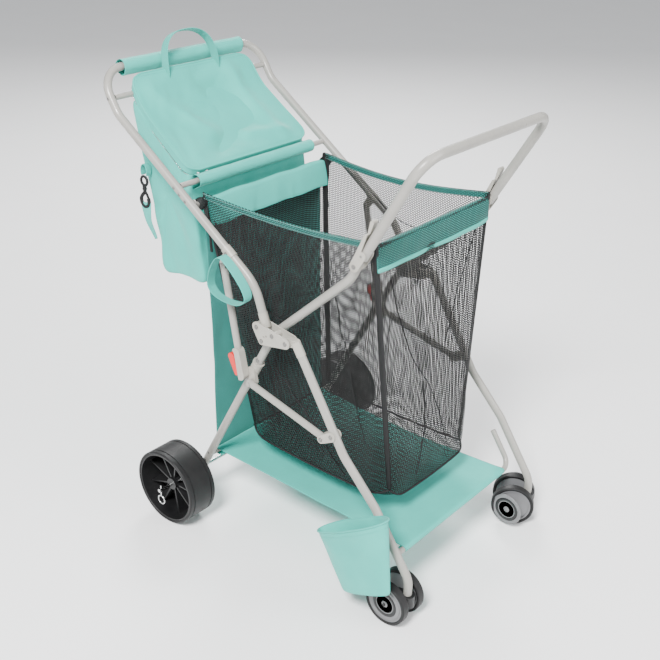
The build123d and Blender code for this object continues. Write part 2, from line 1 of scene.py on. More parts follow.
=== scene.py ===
import bpy
import bmesh
import math
import numpy as np
from mathutils import Matrix, Vector, noise


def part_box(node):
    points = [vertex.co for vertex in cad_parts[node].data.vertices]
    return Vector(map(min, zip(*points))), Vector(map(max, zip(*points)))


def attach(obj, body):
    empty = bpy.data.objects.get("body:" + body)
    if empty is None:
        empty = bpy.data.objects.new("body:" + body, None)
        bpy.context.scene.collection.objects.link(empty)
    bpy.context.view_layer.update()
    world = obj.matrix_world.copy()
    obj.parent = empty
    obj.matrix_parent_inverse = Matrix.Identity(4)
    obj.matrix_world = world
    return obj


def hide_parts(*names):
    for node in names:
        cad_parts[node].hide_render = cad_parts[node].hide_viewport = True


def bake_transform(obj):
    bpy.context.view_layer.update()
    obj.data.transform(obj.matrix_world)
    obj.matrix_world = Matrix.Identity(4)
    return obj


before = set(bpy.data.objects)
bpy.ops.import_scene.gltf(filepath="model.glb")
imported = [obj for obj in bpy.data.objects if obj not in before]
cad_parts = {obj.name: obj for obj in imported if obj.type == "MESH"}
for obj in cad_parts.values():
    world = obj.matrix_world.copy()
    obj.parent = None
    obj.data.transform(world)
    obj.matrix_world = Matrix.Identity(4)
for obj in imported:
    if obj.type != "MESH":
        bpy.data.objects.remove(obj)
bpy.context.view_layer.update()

noise.seed_set(7)       # without this noise_vector starts from the clock, and the cloth folds another way each run

mm = 0.001
axleLow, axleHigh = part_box("axle_rod")
axleX = (axleLow.x + axleHigh.x) / 2        # the big wheels' axle, where side profiles start
print("stage: frame loaded")


def place(x, y, z):
    # a point given in millimetres along the cart, across it and up
    return Vector((axleX + x * mm, y * mm, z * mm))


def resampled(points, count, closed=False):
    # evenly spaced points along a chain of straight runs
    chain = [np.array(p, float) for p in points]
    if closed:
        chain.append(chain[0])
    runs = [np.linalg.norm(b - a) for a, b in zip(chain, chain[1:])]
    total, out = sum(runs), []
    for i in range(count):
        want = total * i / (count if closed else count - 1)
        for a, b, run in zip(chain, chain[1:], runs):
            if want <= run + 1e-9 or b is chain[-1]:
                out.append(a + (b - a) * min(want / max(run, 1e-9), 1.0))
                break
            want -= run
    return np.array(out)


def rounded(points, radius, closed=False, steps=5):
    # the same chain with an arc in place of each corner
    count, out = len(points), []
    pts = [np.array(p, float) for p in points]
    for i, p in enumerate(pts):
        if not closed and i in (0, count - 1):
            out.append(p)
            continue
        a, b = pts[i - 1] - p, pts[(i + 1) % count] - p
        la, lb = np.linalg.norm(a), np.linalg.norm(b)
        cut = min(radius, 0.45 * la, 0.45 * lb)
        p0, p1 = p + a / la * cut, p + b / lb * cut
        for k in range(steps + 1):
            t = k / steps
            out.append((1 - t) ** 2 * p0 + 2 * t * (1 - t) * p + t * t * p1)
    return out


def arc(x, z, r, angles):
    # points of an arc in the side view, at angles in degrees
    return [(x + r * math.cos(math.radians(a)), z + r * math.sin(math.radians(a))) for a in angles]


def moved(points, x, y, z):
    # the same points, moved by millimetres
    return [Vector(p) + Vector((x, y, z)) * mm for p in points]


def dressed(pieces, body):
    for piece in pieces:
        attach(piece, body)


def eased(t):
    t = min(max(t, 0.0), 1.0)
    return t * t * (3 - 2 * t)


def newObject(name, mesh):
    thing = bpy.data.objects.new(name, mesh)
    bpy.context.scene.collection.objects.link(thing)
    return thing


def cutTo(grid, closed):
    # distances along both ways of a grid of points, so that cloth keeps its thread count
    across = np.linalg.norm(np.diff(np.concatenate([grid, grid[:, :1]], 1) if closed else grid, axis=1), axis=2)
    down = np.linalg.norm(np.diff(grid, axis=0), axis=2)
    steps = across.mean(0, keepdims=True).repeat(len(grid), 0)
    u = np.concatenate([np.zeros((len(grid), 1)), np.cumsum(steps, 1)], 1)
    v = np.concatenate([[0.0], np.cumsum(down.mean(1))])
    return u, v


def gridPiece(name, rows, material, closed=False, wall=0.0, caps=False, side=0.0):
    # a piece from rows of points, with its cloth's own map, a thickness and closed ends
    grid = np.array([[list(p) for p in row] for row in rows], float)
    n, m = grid.shape[:2]
    u, v = cutTo(grid, closed)
    mesh = bpy.data.meshes.new(name)
    faces, marks = [], []
    for i in range(n - 1):
        for j in range(m if closed else m - 1):
            k = (j + 1) % m
            faces.append((i * m + j, i * m + k, (i + 1) * m + k, (i + 1) * m + j))
            marks.append([(u[i, j], v[i]), (u[i, j + 1], v[i]), (u[i, j + 1], v[i + 1]), (u[i, j], v[i + 1])])
    mesh.from_pydata(grid.reshape(-1, 3).tolist(), [], faces)
    layer = mesh.uv_layers.new(name="cloth")
    layer.data.foreach_set("uv", np.array(marks, np.float32).reshape(-1))
    if caps:
        shell = bmesh.new()
        shell.from_mesh(mesh)
        bmesh.ops.remove_doubles(shell, verts=shell.verts, dist=1e-5)
        edges = [e for e in shell.edges if e.is_boundary]
        if edges:
            bmesh.ops.holes_fill(shell, edges=edges, sides=0)
        bmesh.ops.recalc_face_normals(shell, faces=shell.faces)
        shell.to_mesh(mesh)
        shell.free()
    mesh.shade_smooth()
    mesh.materials.append(material)
    thing = newObject(name, mesh)
    if wall:
        thick = thing.modifiers.new("wall", "SOLIDIFY")
        thick.thickness = wall
        thick.offset = side
        thick.use_even_offset = False
    fine = thing.modifiers.new("fine", "SUBSURF")
    fine.levels = fine.render_levels = 1
    return settled(thing)


def settled(thing):
    # the modifiers' result as a plain mesh
    bpy.context.view_layer.update()
    graph = bpy.context.evaluated_depsgraph_get()
    final = bpy.data.meshes.new_from_object(thing.evaluated_get(graph), preserve_all_data_layers=True,
                                            depsgraph=graph)
    final.name = thing.name
    thing.modifiers.clear()
    thing.data = final
    return thing


def gridNormals(grid):
    du = np.gradient(grid, axis=1)
    dv = np.gradient(grid, axis=0)
    n = np.cross(du, dv)
    return n / np.maximum(np.linalg.norm(n, axis=2, keepdims=True), 1e-9)


def fold(p, size, seed):
    # soft ridges with narrow valleys, as cloth has that was folded for a long time
    q = Vector((p[0] / size + seed * 3.7, p[1] / size + seed * 1.3, p[2] / size - seed * 2.1))
    bent = q + noise.noise_vector(q * 0.7) * 0.9
    ridge = 1.0 - 2.2 * abs(noise.noise(bent))
    return 0.75 * ridge + 0.35 * noise.noise(q * 2.3)


def tubePiece(name, points, radius, material, closed=False, sides=8):
    # a round rod along points
    line = bpy.data.curves.new(name, "CURVE")
    line.dimensions = "3D"
    line.bevel_depth = radius
    line.bevel_resolution = sides // 4 + 1
    line.use_fill_caps = True
    spline = line.splines.new("NURBS")
    spline.points.add(len(points) - 1)
    for slotPoint, p in zip(spline.points, points):
        slotPoint.co = (*p, 1.0)
    spline.use_cyclic_u = closed
    spline.order_u = 3
    spline.use_endpoint_u = not closed
    spline.resolution_u = 6
    rod = newObject(name + "Line", line)
    bpy.context.view_layer.update()
    graph = bpy.context.evaluated_depsgraph_get()
    mesh = bpy.data.meshes.new_from_object(rod.evaluated_get(graph), depsgraph=graph)
    bpy.data.objects.remove(rod)
    mesh.name = name
    mesh.materials.clear()
    mesh.materials.append(material)
    mesh.shade_smooth()
    return newObject(name, mesh)


def turnedPiece(name, profile, centre, axis, material, sides=32):
    # a lathe shape: (radius, height) pairs in millimetres, round an axis through centre
    shell = bmesh.new()
    rings = []
    for r, h in [(a * mm, b * mm) for a, b in profile]:
        if r < 1e-6:
            rings.append([shell.verts.new((0, 0, h))])
        else:
            rings.append([shell.verts.new((r * math.cos(2 * math.pi * k / sides),
                                           r * math.sin(2 * math.pi * k / sides), h)) for k in range(sides)])
    for a, b in zip(rings, rings[1:]):
        for k in range(sides):
            n = (k + 1) % sides
            corner = list(dict.fromkeys([a[k % len(a)], a[n % len(a)], b[n % len(b)], b[k % len(b)]]))
            if len(corner) > 2:
                shell.faces.new(corner)
    for ring in (rings[0], rings[-1]):
        if len(ring) > 1:
            shell.faces.new(ring)
    bmesh.ops.recalc_face_normals(shell, faces=shell.faces)
    turn = Vector((0, 0, 1)).rotation_difference(Vector(axis)).to_matrix().to_4x4()
    bmesh.ops.transform(shell, matrix=Matrix.Translation(centre) @ turn, verts=shell.verts)
    mesh = bpy.data.meshes.new(name)
    shell.to_mesh(mesh)
    shell.free()
    mesh.shade_smooth()
    mesh.materials.append(material)
    return newObject(name, mesh)


def joined(name, things):
    # several meshes made one object
    shell = bmesh.new()
    materials = []
    for thing in things:
        start = len(shell.faces)
        shell.from_mesh(thing.data)
        shell.faces.ensure_lookup_table()
        for own in thing.data.materials:
            if own not in materials:
                materials.append(own)
        for face in shell.faces[start:]:
            face.material_index = materials.index(thing.data.materials[face.material_index])
    mesh = bpy.data.meshes.new(name)
    shell.to_mesh(mesh)
    shell.free()
    for own in materials:
        mesh.materials.append(own)
    for thing in things:
        bpy.data.objects.remove(thing)
    return newObject(name, mesh)


def band(name, path, across, width, wall, material, closed=False):
    # webbing or tape: its middle follows path and its width lies along across
    rows = []
    for k, p in enumerate(path):
        side = Vector(across[k] if isinstance(across, list) else across).normalized() * width * 0.5
        rows.append([Vector(p) + side * t for t in (-1.0, -0.92, -0.5, 0.0, 0.5, 0.92, 1.0)])
    if closed:
        rows.append(rows[0])
    return gridPiece(name, rows, material, wall=wall)


def nodeTree(name, sockets):
    tree = bpy.data.node_groups.new(name, "GeometryNodeTree")
    tree.interface.new_socket("Geometry", in_out="INPUT", socket_type="NodeSocketGeometry")
    for label, kind in sockets:
        tree.interface.new_socket(label, in_out="INPUT", socket_type=kind)
    tree.interface.new_socket("Geometry", in_out="OUTPUT", socket_type="NodeSocketGeometry")
    return tree, tree.nodes.new("NodeGroupInput"), tree.nodes.new("NodeGroupOutput")


def feed(tree, node, values):
    # each input gets a plain value, or a link when it is given a socket
    for label, value in values.items():
        if hasattr(value, "is_linked"):
            tree.links.new(value, node.inputs[label])
        else:
            node.inputs[label].default_value = value
    return node


def added(tree, kind, values, **fields):
    node = tree.nodes.new(kind)
    for label, value in fields.items():
        setattr(node, label, value)
    return feed(tree, node, values)


def finishTree(tree, entry, leave, geometry):
    real = added(tree, "GeometryNodeRealizeInstances", {"Geometry": geometry})
    paint = added(tree, "GeometryNodeSetMaterial", {"Geometry": real.outputs["Geometry"],
                                                    "Material": entry.outputs["Finish"]})
    feed(tree, leave, {"Geometry": paint.outputs["Geometry"]})


def stitchTree():
    # small rounded grains along the edges of a chain: thread stitches and zip teeth
    tree, entry, leave = nodeTree("grainsAlong", [("Gap", "NodeSocketFloat"), ("Size", "NodeSocketVector"),
                                                  ("Finish", "NodeSocketMaterial")])
    line = added(tree, "GeometryNodeMeshToCurve", {"Mesh": entry.outputs["Geometry"]})
    even = added(tree, "GeometryNodeResampleCurve", {"Curve": line.outputs["Curve"], "Length": entry.outputs["Gap"]},
                 mode="LENGTH")
    grain = added(tree, "GeometryNodeMeshUVSphere", {"Segments": 6, "Rings": 4, "Radius": 0.5})
    tangent = tree.nodes.new("GeometryNodeInputTangent")
    keep = tree.nodes.new("GeometryNodeCaptureAttribute")
    keep.capture_items.new("VECTOR", "way")
    feed(tree, keep, {"Geometry": even.outputs["Curve"], 1: tangent.outputs["Tangent"]})
    aim = added(tree, "FunctionNodeAlignRotationToVector", {"Vector": keep.outputs[1]}, axis="X")
    spots = added(tree, "GeometryNodeInstanceOnPoints", {
        "Points": keep.outputs["Geometry"], "Rotation": aim.outputs["Rotation"],
        "Instance": grain.outputs["Mesh"], "Scale": entry.outputs["Size"]})
    finishTree(tree, entry, leave, spots.outputs["Instances"])
    return tree


def studTree():
    # rivet heads on points that carry the way they face
    tree, entry, leave = nodeTree("headsOnPoints", [("Width", "NodeSocketFloat"), ("Height", "NodeSocketFloat"),
                                                    ("Finish", "NodeSocketMaterial")])
    head = added(tree, "GeometryNodeMeshUVSphere", {"Segments": 20, "Rings": 10, "Radius": 0.5})
    facing = added(tree, "GeometryNodeInputNamedAttribute", {"Name": "facing"}, data_type="FLOAT_VECTOR")
    aim = added(tree, "FunctionNodeAlignRotationToVector", {"Vector": facing.outputs["Attribute"]}, axis="Z")
    wide, high = entry.outputs["Width"], entry.outputs["Height"]
    size = added(tree, "ShaderNodeCombineXYZ", {"X": wide, "Y": wide, "Z": high})
    points = added(tree, "GeometryNodeMeshToPoints", {"Mesh": entry.outputs["Geometry"]})
    spots = added(tree, "GeometryNodeInstanceOnPoints", {
        "Points": points.outputs["Points"], "Rotation": aim.outputs["Rotation"],
        "Instance": head.outputs["Mesh"], "Scale": size.outputs["Vector"]})
    finishTree(tree, entry, leave, spots.outputs["Instances"])
    return tree


def grown(name, mesh, tree, values):
    # runs a tree on a mesh and keeps its result as a plain mesh
    thing = newObject(name, mesh)
    tool = thing.modifiers.new("repeat", "NODES")
    tool.node_group = tree
    for item in tree.interface.items_tree:
        if item.in_out == "INPUT" and item.name in values:
            tool[item.identifier] = values[item.name]
    thing = settled(thing)
    thing.data.shade_smooth()
    return thing


stitches = stitchTree()
studs = studTree()


def stitched(name, chains, gap, size, material):
    mesh = bpy.data.meshes.new(name)
    points, edges = [], []
    for chain in chains:
        start = len(points)
        points += [tuple(p) for p in chain]
        edges += [(start + i, start + i + 1) for i in range(len(chain) - 1)]
    mesh.from_pydata(points, edges, [])
    return grown(name, mesh, stitches, {"Gap": gap, "Size": size, "Finish": material})


def studded(name, spots, width, height, material):
    mesh = bpy.data.meshes.new(name)
    mesh.from_pydata([tuple(p) for p, way in spots], [], [])
    facing = mesh.attributes.new("facing", "FLOAT_VECTOR", "POINT")
    facing.data.foreach_set("vector", np.array([tuple(way) for p, way in spots], np.float32).reshape(-1))
    return grown(name, mesh, studs, {"Width": width, "Height": height, "Finish": material})


print("stage: repeat trees built")


def shaderGroup(name, inputs, outputs):
    group = bpy.data.node_groups.new(name, "ShaderNodeTree")
    for label, kind, value in inputs:
        made = group.interface.new_socket(label, in_out="INPUT", socket_type="NodeSocket" + kind)
        if value is not None:
            made.default_value = value
    for label, kind in outputs:
        group.interface.new_socket(label, in_out="OUTPUT", socket_type="NodeSocket" + kind)
    return group, group.nodes.new("NodeGroupInput"), group.nodes.new("NodeGroupOutput")


def calc(tree, kind, a, b=None, clamp=False):
    values = {0: a} if b is None else {0: a, 1: b}
    return added(tree, "ShaderNodeMath", values, operation=kind, use_clamp=clamp).outputs[0]


def mixed(tree, amount, a, b):
    return added(tree, "ShaderNodeMix", {"Factor": amount, "A": a, "B": b}, data_type="RGBA").outputs["Result"]


def noiseAt(tree, vector, scale, detail=3.0):
    return added(tree, "ShaderNodeTexNoise", {"Detail": detail, "Roughness": 0.55, "Scale": scale,
                                              "Vector": vector}).outputs["Fac"]


def remap(tree, value, low, high, newLow, newHigh):
    return added(tree, "ShaderNodeMapRange", {"From Min": low, "From Max": high, "To Min": newLow,
                                              "To Max": newHigh, "Value": value}).outputs["Result"]


def weaveGroup():
    # plain weave: thread height, and painted shade that follows it and darkens the dips between threads
    group, entry, leave = shaderGroup("plainWeave", [("Map", "Vector", None), ("Threads", "Float", 900.0),
                                                     ("Slub", "Float", 0.35)],
                                      [("Height", "Float"), ("Shade", "Float"), ("Cloud", "Float")])
    part = added(group, "ShaderNodeSeparateXYZ", {0: entry.outputs["Map"]})
    threads = entry.outputs["Threads"]
    counts = [calc(group, "MULTIPLY", part.outputs[axis], threads) for axis in ("X", "Y")]
    wave = [calc(group, "SINE", calc(group, "MULTIPLY", count, math.pi)) for count in counts]
    weft, warp = (calc(group, "ABSOLUTE", w) for w in wave)
    turn = calc(group, "GREATER_THAN", calc(group, "MULTIPLY", wave[0], wave[1]), 0.0)
    over = calc(group, "ADD", calc(group, "MULTIPLY", weft, turn),
                calc(group, "MULTIPLY", warp, calc(group, "SUBTRACT", 1.0, turn)))
    slub = noiseAt(group, entry.outputs["Map"], 260.0, 2.0)
    height = calc(group, "ADD", over, calc(group, "MULTIPLY", slub, entry.outputs["Slub"]))
    # the Shade output is painted shade: darker where the threads dip
    feed(group, leave, {"Height": height, "Shade": remap(group, over, 0.0, 1.0, 0.82, 1.0),
                        "Cloud": noiseAt(group, entry.outputs["Map"], 9.0, 4.0)})
    return group


def netGroup():
    # six-sided holes between knitted strands: where there is thread, and how it stands up
    group, entry, leave = shaderGroup("knitNet", [("Map", "Vector", None), ("Holes", "Float", 330.0),
                                                  ("Open", "Float", 0.1)],
                                      [("Thread", "Float"), ("Height", "Float")])
    part = added(group, "ShaderNodeSeparateXYZ", {0: entry.outputs["Map"]})
    turn = 2 * math.pi
    u, v = (calc(group, "MULTIPLY", calc(group, "MULTIPLY", part.outputs[axis], entry.outputs["Holes"]), rate)
            for axis, rate in (("X", turn), ("Y", turn * 0.866)))       # rows of hexagons are closer than columns
    half = calc(group, "MULTIPLY", u, 0.5)
    field = calc(group, "ADD", calc(group, "COSINE", u),
                 calc(group, "ADD", calc(group, "COSINE", calc(group, "ADD", half, v)),
                      calc(group, "COSINE", calc(group, "SUBTRACT", half, v))))
    lift = calc(group, "SUBTRACT", entry.outputs["Open"], field)
    thread = calc(group, "MULTIPLY", calc(group, "ADD", lift, 0.12), 7.0, clamp=True)
    feed(group, leave, {"Thread": thread, "Height": calc(group, "MULTIPLY", lift, 0.5, clamp=True)})
    return group


def wearGroup():
    # light dust and rubbed patches on coated metal and moulded plastic
    group, entry, leave = shaderGroup("handled", [("Map", "Vector", None), ("Grain", "Float", 900.0),
                                                  ("Dust", "Float", 0.12), ("Low Rough", "Float", 0.3),
                                                  ("High Rough", "Float", 0.5)],
                                      [("Dirt", "Float"), ("Roughness", "Float"), ("Height", "Float")])
    cloud = noiseAt(group, entry.outputs["Map"], 14.0, 5.0)
    streak = noiseAt(group, entry.outputs["Map"], 70.0, 4.0)
    both = calc(group, "ADD", calc(group, "MULTIPLY", cloud, 0.65), calc(group, "MULTIPLY", streak, 0.35))
    mask = remap(group, both, 0.38, 0.68, 0.0, 1.0)
    rough = remap(group, both, 0.35, 0.65, entry.outputs["Low Rough"], entry.outputs["High Rough"])
    feed(group, leave, {"Dirt": calc(group, "MULTIPLY", mask, entry.outputs["Dust"]), "Roughness": rough,
                        "Height": noiseAt(group, entry.outputs["Map"], entry.outputs["Grain"], 2.0)})
    return group


weave, net, handled = weaveGroup(), netGroup(), wearGroup()


def blankMaterial(name):
    material = bpy.data.materials.new(name)
    material.use_nodes = True
    tree = material.node_tree
    return material, tree, tree.nodes["Principled BSDF"]


def bumped(tree, shader, height, strength, distance):
    bump = added(tree, "ShaderNodeBump", {"Strength": strength, "Distance": distance, "Height": height})
    feed(tree, shader, {"Normal": bump.outputs["Normal"]})


def coated(name, light, dark, rough, dust=0.35, grain=900.0, bump=0.00006, metal=0.0, gloss=0.5):
    # powder-coated or moulded surfaces
    material, tree, shader = blankMaterial(name)
    where = tree.nodes.new("ShaderNodeTexCoord").outputs["Object"]
    wear = added(tree, "ShaderNodeGroup", {"Grain": grain, "Dust": dust, "Low Rough": rough[0],
                                           "High Rough": rough[1], "Map": where}, node_tree=handled)
    feed(tree, shader, {"Base Color": mixed(tree, wear.outputs["Dirt"], (*light, 1), (*dark, 1)),
                        "Roughness": wear.outputs["Roughness"], "Metallic": metal, "Specular IOR Level": gloss})
    bumped(tree, shader, wear.outputs["Height"], 0.6, bump)
    return material


def woven(name, light, dark, threads=900.0, bump=0.00025):
    # polyester cloth on its own map
    material, tree, shader = blankMaterial(name)
    uv = added(tree, "ShaderNodeUVMap", {}, uv_map="cloth")
    cloth = added(tree, "ShaderNodeGroup", {"Threads": threads, "Map": uv.outputs["UV"]}, node_tree=weave)
    cloud = remap(tree, cloth.outputs["Cloud"], 0.35, 0.7, 0.0, 0.5)
    tone = mixed(tree, cloud, (*light, 1), (*dark, 1))
    # the dips between threads pull the colour toward dark: painted shade
    shade = remap(tree, cloth.outputs["Shade"], 0.82, 1.0, 0.3, 0.0)
    feed(tree, shader, {"Base Color": mixed(tree, shade, tone, (*dark, 1)),
                        "Roughness": remap(tree, cloth.outputs["Cloud"], 0.3, 0.7, 0.65, 0.79),
                        "Sheen Weight": 0.12, "Sheen Roughness": 0.5})
    bumped(tree, shader, cloth.outputs["Height"], 0.5, bump)
    return material


def netted(name, colour, opening, under=None):
    # knitted net: open between its threads, or laid on cloth of the colour under
    material, tree, shader = blankMaterial(name)
    uv = added(tree, "ShaderNodeUVMap", {}, uv_map="cloth")
    knit = added(tree, "ShaderNodeGroup", {"Holes": 215.0, "Open": opening, "Map": uv.outputs["UV"]}, node_tree=net)
    cloud = noiseAt(tree, uv.outputs["UV"], 30.0, 3.0)
    dark = tuple(0.45 * c for c in colour)
    if under is None:
        feed(tree, shader, {"Base Color": mixed(tree, cloud, (*dark, 1), (*colour, 1)),
                            "Alpha": knit.outputs["Thread"]})
    else:
        feed(tree, shader, {"Base Color": mixed(tree, knit.outputs["Thread"], (*under, 1), (*colour, 1))})
    feed(tree, shader, {"Roughness": remap(tree, cloud, 0.3, 0.7, 0.5, 0.7), "Specular IOR Level": 0.25})
    bumped(tree, shader, knit.outputs["Height"], 0.6, 0.0006)
    return material


finishes = {
    "tube": dict(light=(0.30, 0.29, 0.265), dark=(0.17, 0.165, 0.15), rough=(0.24, 0.4), dust=0.35),
    "bracket": dict(light=(0.35, 0.335, 0.295), dark=(0.2, 0.19, 0.16), rough=(0.3, 0.46), dust=0.35, grain=1400.0),
    # rivet heads coloured dark to stand for the shade round the rivets: painted shade
    "rivetHeadShaded": dict(light=(0.2, 0.195, 0.185), dark=(0.08, 0.078, 0.072), rough=(0.25, 0.4), dust=0.4, metal=0.6),
    "redLever": dict(light=(0.7, 0.012, 0.006), dark=(0.32, 0.015, 0.01), rough=(0.3, 0.45), dust=0.3),
    "wheelPlastic": dict(light=(0.009, 0.009, 0.0095), dark=(0.022, 0.022, 0.022), rough=(0.3, 0.46), dust=0.3,
                         grain=1100.0, bump=0.0001, gloss=0.35),
    "tyreRubber": dict(light=(0.0085, 0.0085, 0.009), dark=(0.024, 0.0235, 0.023), rough=(0.42, 0.6), dust=0.35,
                       grain=700.0, bump=0.0002, gloss=0.25),
    "casterDisc": dict(light=(0.15, 0.15, 0.155), dark=(0.085, 0.085, 0.085), rough=(0.3, 0.45), dust=0.3),
    "wire": dict(light=(0.68, 0.68, 0.68), dark=(0.35, 0.35, 0.35), rough=(0.18, 0.34), dust=0.3, metal=1.0),
    "blackTape": dict(light=(0.008, 0.008, 0.0085), dark=(0.02, 0.02, 0.02), rough=(0.6, 0.8), dust=0.4,
                      grain=1600.0, bump=0.0003, gloss=0.25),
}
coats = {name: coated(name, **values) for name, values in finishes.items()}

clothAqua = woven("clothAqua", (0.03, 0.44, 0.365), (0.018, 0.315, 0.26))
# the back panel is the bag's aqua cloth made darker: painted shade
clothPanelShaded = woven("clothPanelShaded", (0.016, 0.235, 0.2), (0.01, 0.165, 0.14))
webAqua = woven("webAqua", (0.032, 0.42, 0.35), (0.014, 0.25, 0.21), threads=520.0, bump=0.0005)
netBlack = netted("netBlack", (0.009, 0.009, 0.009), 0.12)
netOnTeal = netted("netOnTeal", (0.009, 0.01, 0.01), 0.3, under=(0.022, 0.25, 0.215))
netBunched = netted("netBunched", (0.009, 0.009, 0.009), 0.2, under=(0.014, 0.02, 0.02))
threadPale = woven("threadPale", (0.2, 0.42, 0.38), (0.12, 0.3, 0.27), threads=520.0)

nodeFinish = {       # a star stands for left and right
    "tube": "post_* strut_* brace_* front_leg_* rail_tube bag_bar lid_bar basket_back_bar basket_front_bar front_bar "
            "handle_bar rear_bar",
    "bracket": "hub_brackets rail_ends leg_ends strut_collars brace_brackets runner_* latch_housing_* "
               "handle_joint_* handle_latch_*",
    "rivetHeadShaded": "chassis_rivets rail_rivets front_rivets",
    "redLever": "latch_lever_*",
    "wheelPlastic": "wheel_hub_* caster_fork_*",
    "tyreRubber": "wheel_tyre_* caster_tyre_*_outer caster_tyre_*_inner",
    "casterDisc": "caster_hub_*_outer caster_hub_*_inner",
    "wire": "wheel_pin_* axle_rod",
}
for finish, names in nodeFinish.items():
    for node in dict.fromkeys(name.replace("*", side) for name in names.split() for side in ("left", "right")):
        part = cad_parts[node]
        if not part.material_slots:
            part.data.materials.append(coats[finish])
        for spot in part.material_slots:
            spot.material = coats[finish]
print("stage: finishes made")


basketSizes = dict(back=16.0, front=497.0, half=206.0, floorBack=84.0, floorFront=532.0, floorHalf=156.0,
                   floorZ=207.0, backZ=816.0, frontZ=828.0, sag=17.0, pull=10.0, tape=9.0, cornerIn=16.0,
                   cornerUp=13.0, floorSag=8.0)
outward = ((0, -1), (1, 0), (0, 1), (-1, 0))       # from the left side, the front, the right side and the back
swells = (-9.0, -4.0, -9.0, 2.0)                   # how far each of them bellies out


def rimPoint(s):
    # s runs round the rim from the back left corner: side, front, side, back
    b = basketSizes
    leg, t = int(s) % 4, s - int(s)
    dip = math.sin(math.pi * t)
    rise = b["backZ"] + (b["frontZ"] - b["backZ"]) * (t if leg == 0 else 1 - t)
    if leg in (0, 2):
        x = b["back"] + (b["front"] - b["back"]) * (t if leg == 0 else 1 - t)
        y = (b["half"] - b["pull"] * dip) * (-1 if leg == 0 else 1)
        return (x, y, rise - b["sag"] * dip)
    y = b["half"] * (2 * t - 1) * (1 if leg == 1 else -1)
    ends = abs(2 * t - 1) ** 6
    if leg == 1:
        return (b["front"] + 1.0, y, 815.0 + 13.0 * ends)
    return (b["back"], y, 776.0 + 40.0 * ends)


def floorPoint(s):
    b = basketSizes
    leg, t = int(s) % 4, s - int(s)
    xs = (b["floorBack"], b["floorFront"])
    y = b["floorHalf"]
    ring = [(xs[0], -y), (xs[1], -y), (xs[1], y), (xs[0], y)]
    p, q = ring[leg], ring[(leg + 1) % 4]
    x, y = p[0] + (q[0] - p[0]) * t, p[1] + (q[1] - p[1]) * t
    corner = max(0.0, 1 - min(t, 1 - t) / 0.16) ** 2       # the corners are drawn in and up
    middle = (xs[0] + xs[1]) / 2
    return (x - math.copysign(b["cornerIn"] * corner, x - middle), y - math.copysign(b["cornerIn"] * corner, y),
            b["floorZ"] + b["cornerUp"] * corner - b["floorSag"] * math.sin(math.pi * t))


def pushed(p, leg, far):
    return (p[0] + outward[leg][0] * far, p[1] + outward[leg][1] * far, p[2])


def basketPoint(s, t):
    # t runs from the rim, 0, to the floor's edge, 1
    top, low = rimPoint(s), floorPoint(s)
    leg, way = int(s) % 4, s - int(s)
    p = [a + (b - a) * t for a, b in zip(top, low)]
    belly = math.sin(math.pi * way) * math.sin(math.pi * t ** 0.8)
    return pushed(p, leg, swells[leg] * belly)


def basketFold(p, s, t):
    # folds that hang from the corners and gather at the floor
    leg, way = int(s) % 4, s - int(s)
    free = min(1.0, 8 * way, 8 * (1 - way)) * min(1.0, 6 * t + 0.15, 10 * (1 - t))
    hang = fold((p[0] * 1.6, p[1] * 1.6, p[2] * 0.5), 90.0, 3 + leg)
    crush = fold(p, 55.0, 11 + leg) * eased((t - 0.55) * 2.2)
    return free * (8.0 * hang + 9.0 * crush)


def wallPoint(s, t, lift=0.0):
    # a point on the folded net; the front and back stay inside their bars and flap
    p = basketPoint(s, t)
    leg = int(s) % 4
    limit = 7.0 if leg in (0, 2) else 4.0 * eased(t * 7)
    return place(*pushed(p, leg, max(-14.0, min(limit, basketFold(p, s, t))) + lift))


def basketWalls():
    sideCount, rowCount = 30, 37
    steps = [leg + k / sideCount for leg in range(4) for k in range(sideCount)]
    rows = [[wallPoint(s, i / (rowCount - 1)) for s in steps] for i in range(rowCount)]
    return gridPiece("basketWalls", rows, netBlack, closed=True)


# pressed folds in the net: points along each, as (round the basket, down the wall)
netCreases = [((0.04, 0.10), (0.14, 0.30), (0.36, 0.42), (0.60, 0.40)), ((0.30, 0.62), (0.52, 0.80), (0.72, 0.97)),
              ((0.72, 0.12), (0.78, 0.45), (0.86, 0.80)), ((1.10, 0.12), (1.22, 0.40), (1.48, 0.62), (1.70, 0.92)),
              ((1.88, 0.09), (1.72, 0.30), (1.62, 0.48)), ((2.15, 0.08), (2.40, 0.20), (2.70, 0.08)),
              ((2.30, 0.30), (2.55, 0.60), (2.62, 0.95)), ((1.30, 0.95), (1.42, 0.78), (1.40, 0.58))]


def basketCreases():
    parts = []
    for k, crease in enumerate(netCreases):
        line = resampled(rounded([(s, t, 0) for s, t in crease], 0.3), 26)
        path = [wallPoint(s, t, 0.4) for s, t, _ in line]
        parts.append(tubePiece(f"crease{k}", path, 1.25 * mm, coats["blackTape"], sides=4))
    return joined("basketCreases", parts)


def basketFloor():
    rows = []
    for i in range(19):
        a = i / 18
        rows.append([])
        for j in range(15):
            c = j / 14
            near, far = np.array(floorPoint(a)), np.array(floorPoint(3 - a))
            back, front = np.array(floorPoint(4 - c)), np.array(floorPoint(1 + c))
            ends = [np.array(floorPoint(k)) for k in range(4)]
            flat = ((1 - a) * (1 - c) * ends[0] + a * (1 - c) * ends[1] + a * c * ends[2] + (1 - a) * c * ends[3])
            x, y, z = (1 - c) * near + c * far + (1 - a) * back + a * front - flat
            hold = math.sin(math.pi * a) * math.sin(math.pi * c)
            rows[-1].append(place(x, y, z - 5.0 * hold + 6.0 * hold * fold((x, y, 0), 80.0, 21)))
    return gridPiece("basketFloor", rows, netBlack)


def onWall(s, t, lift=1.2):
    return place(*pushed(basketPoint(s, t), int(s) % 4, lift))


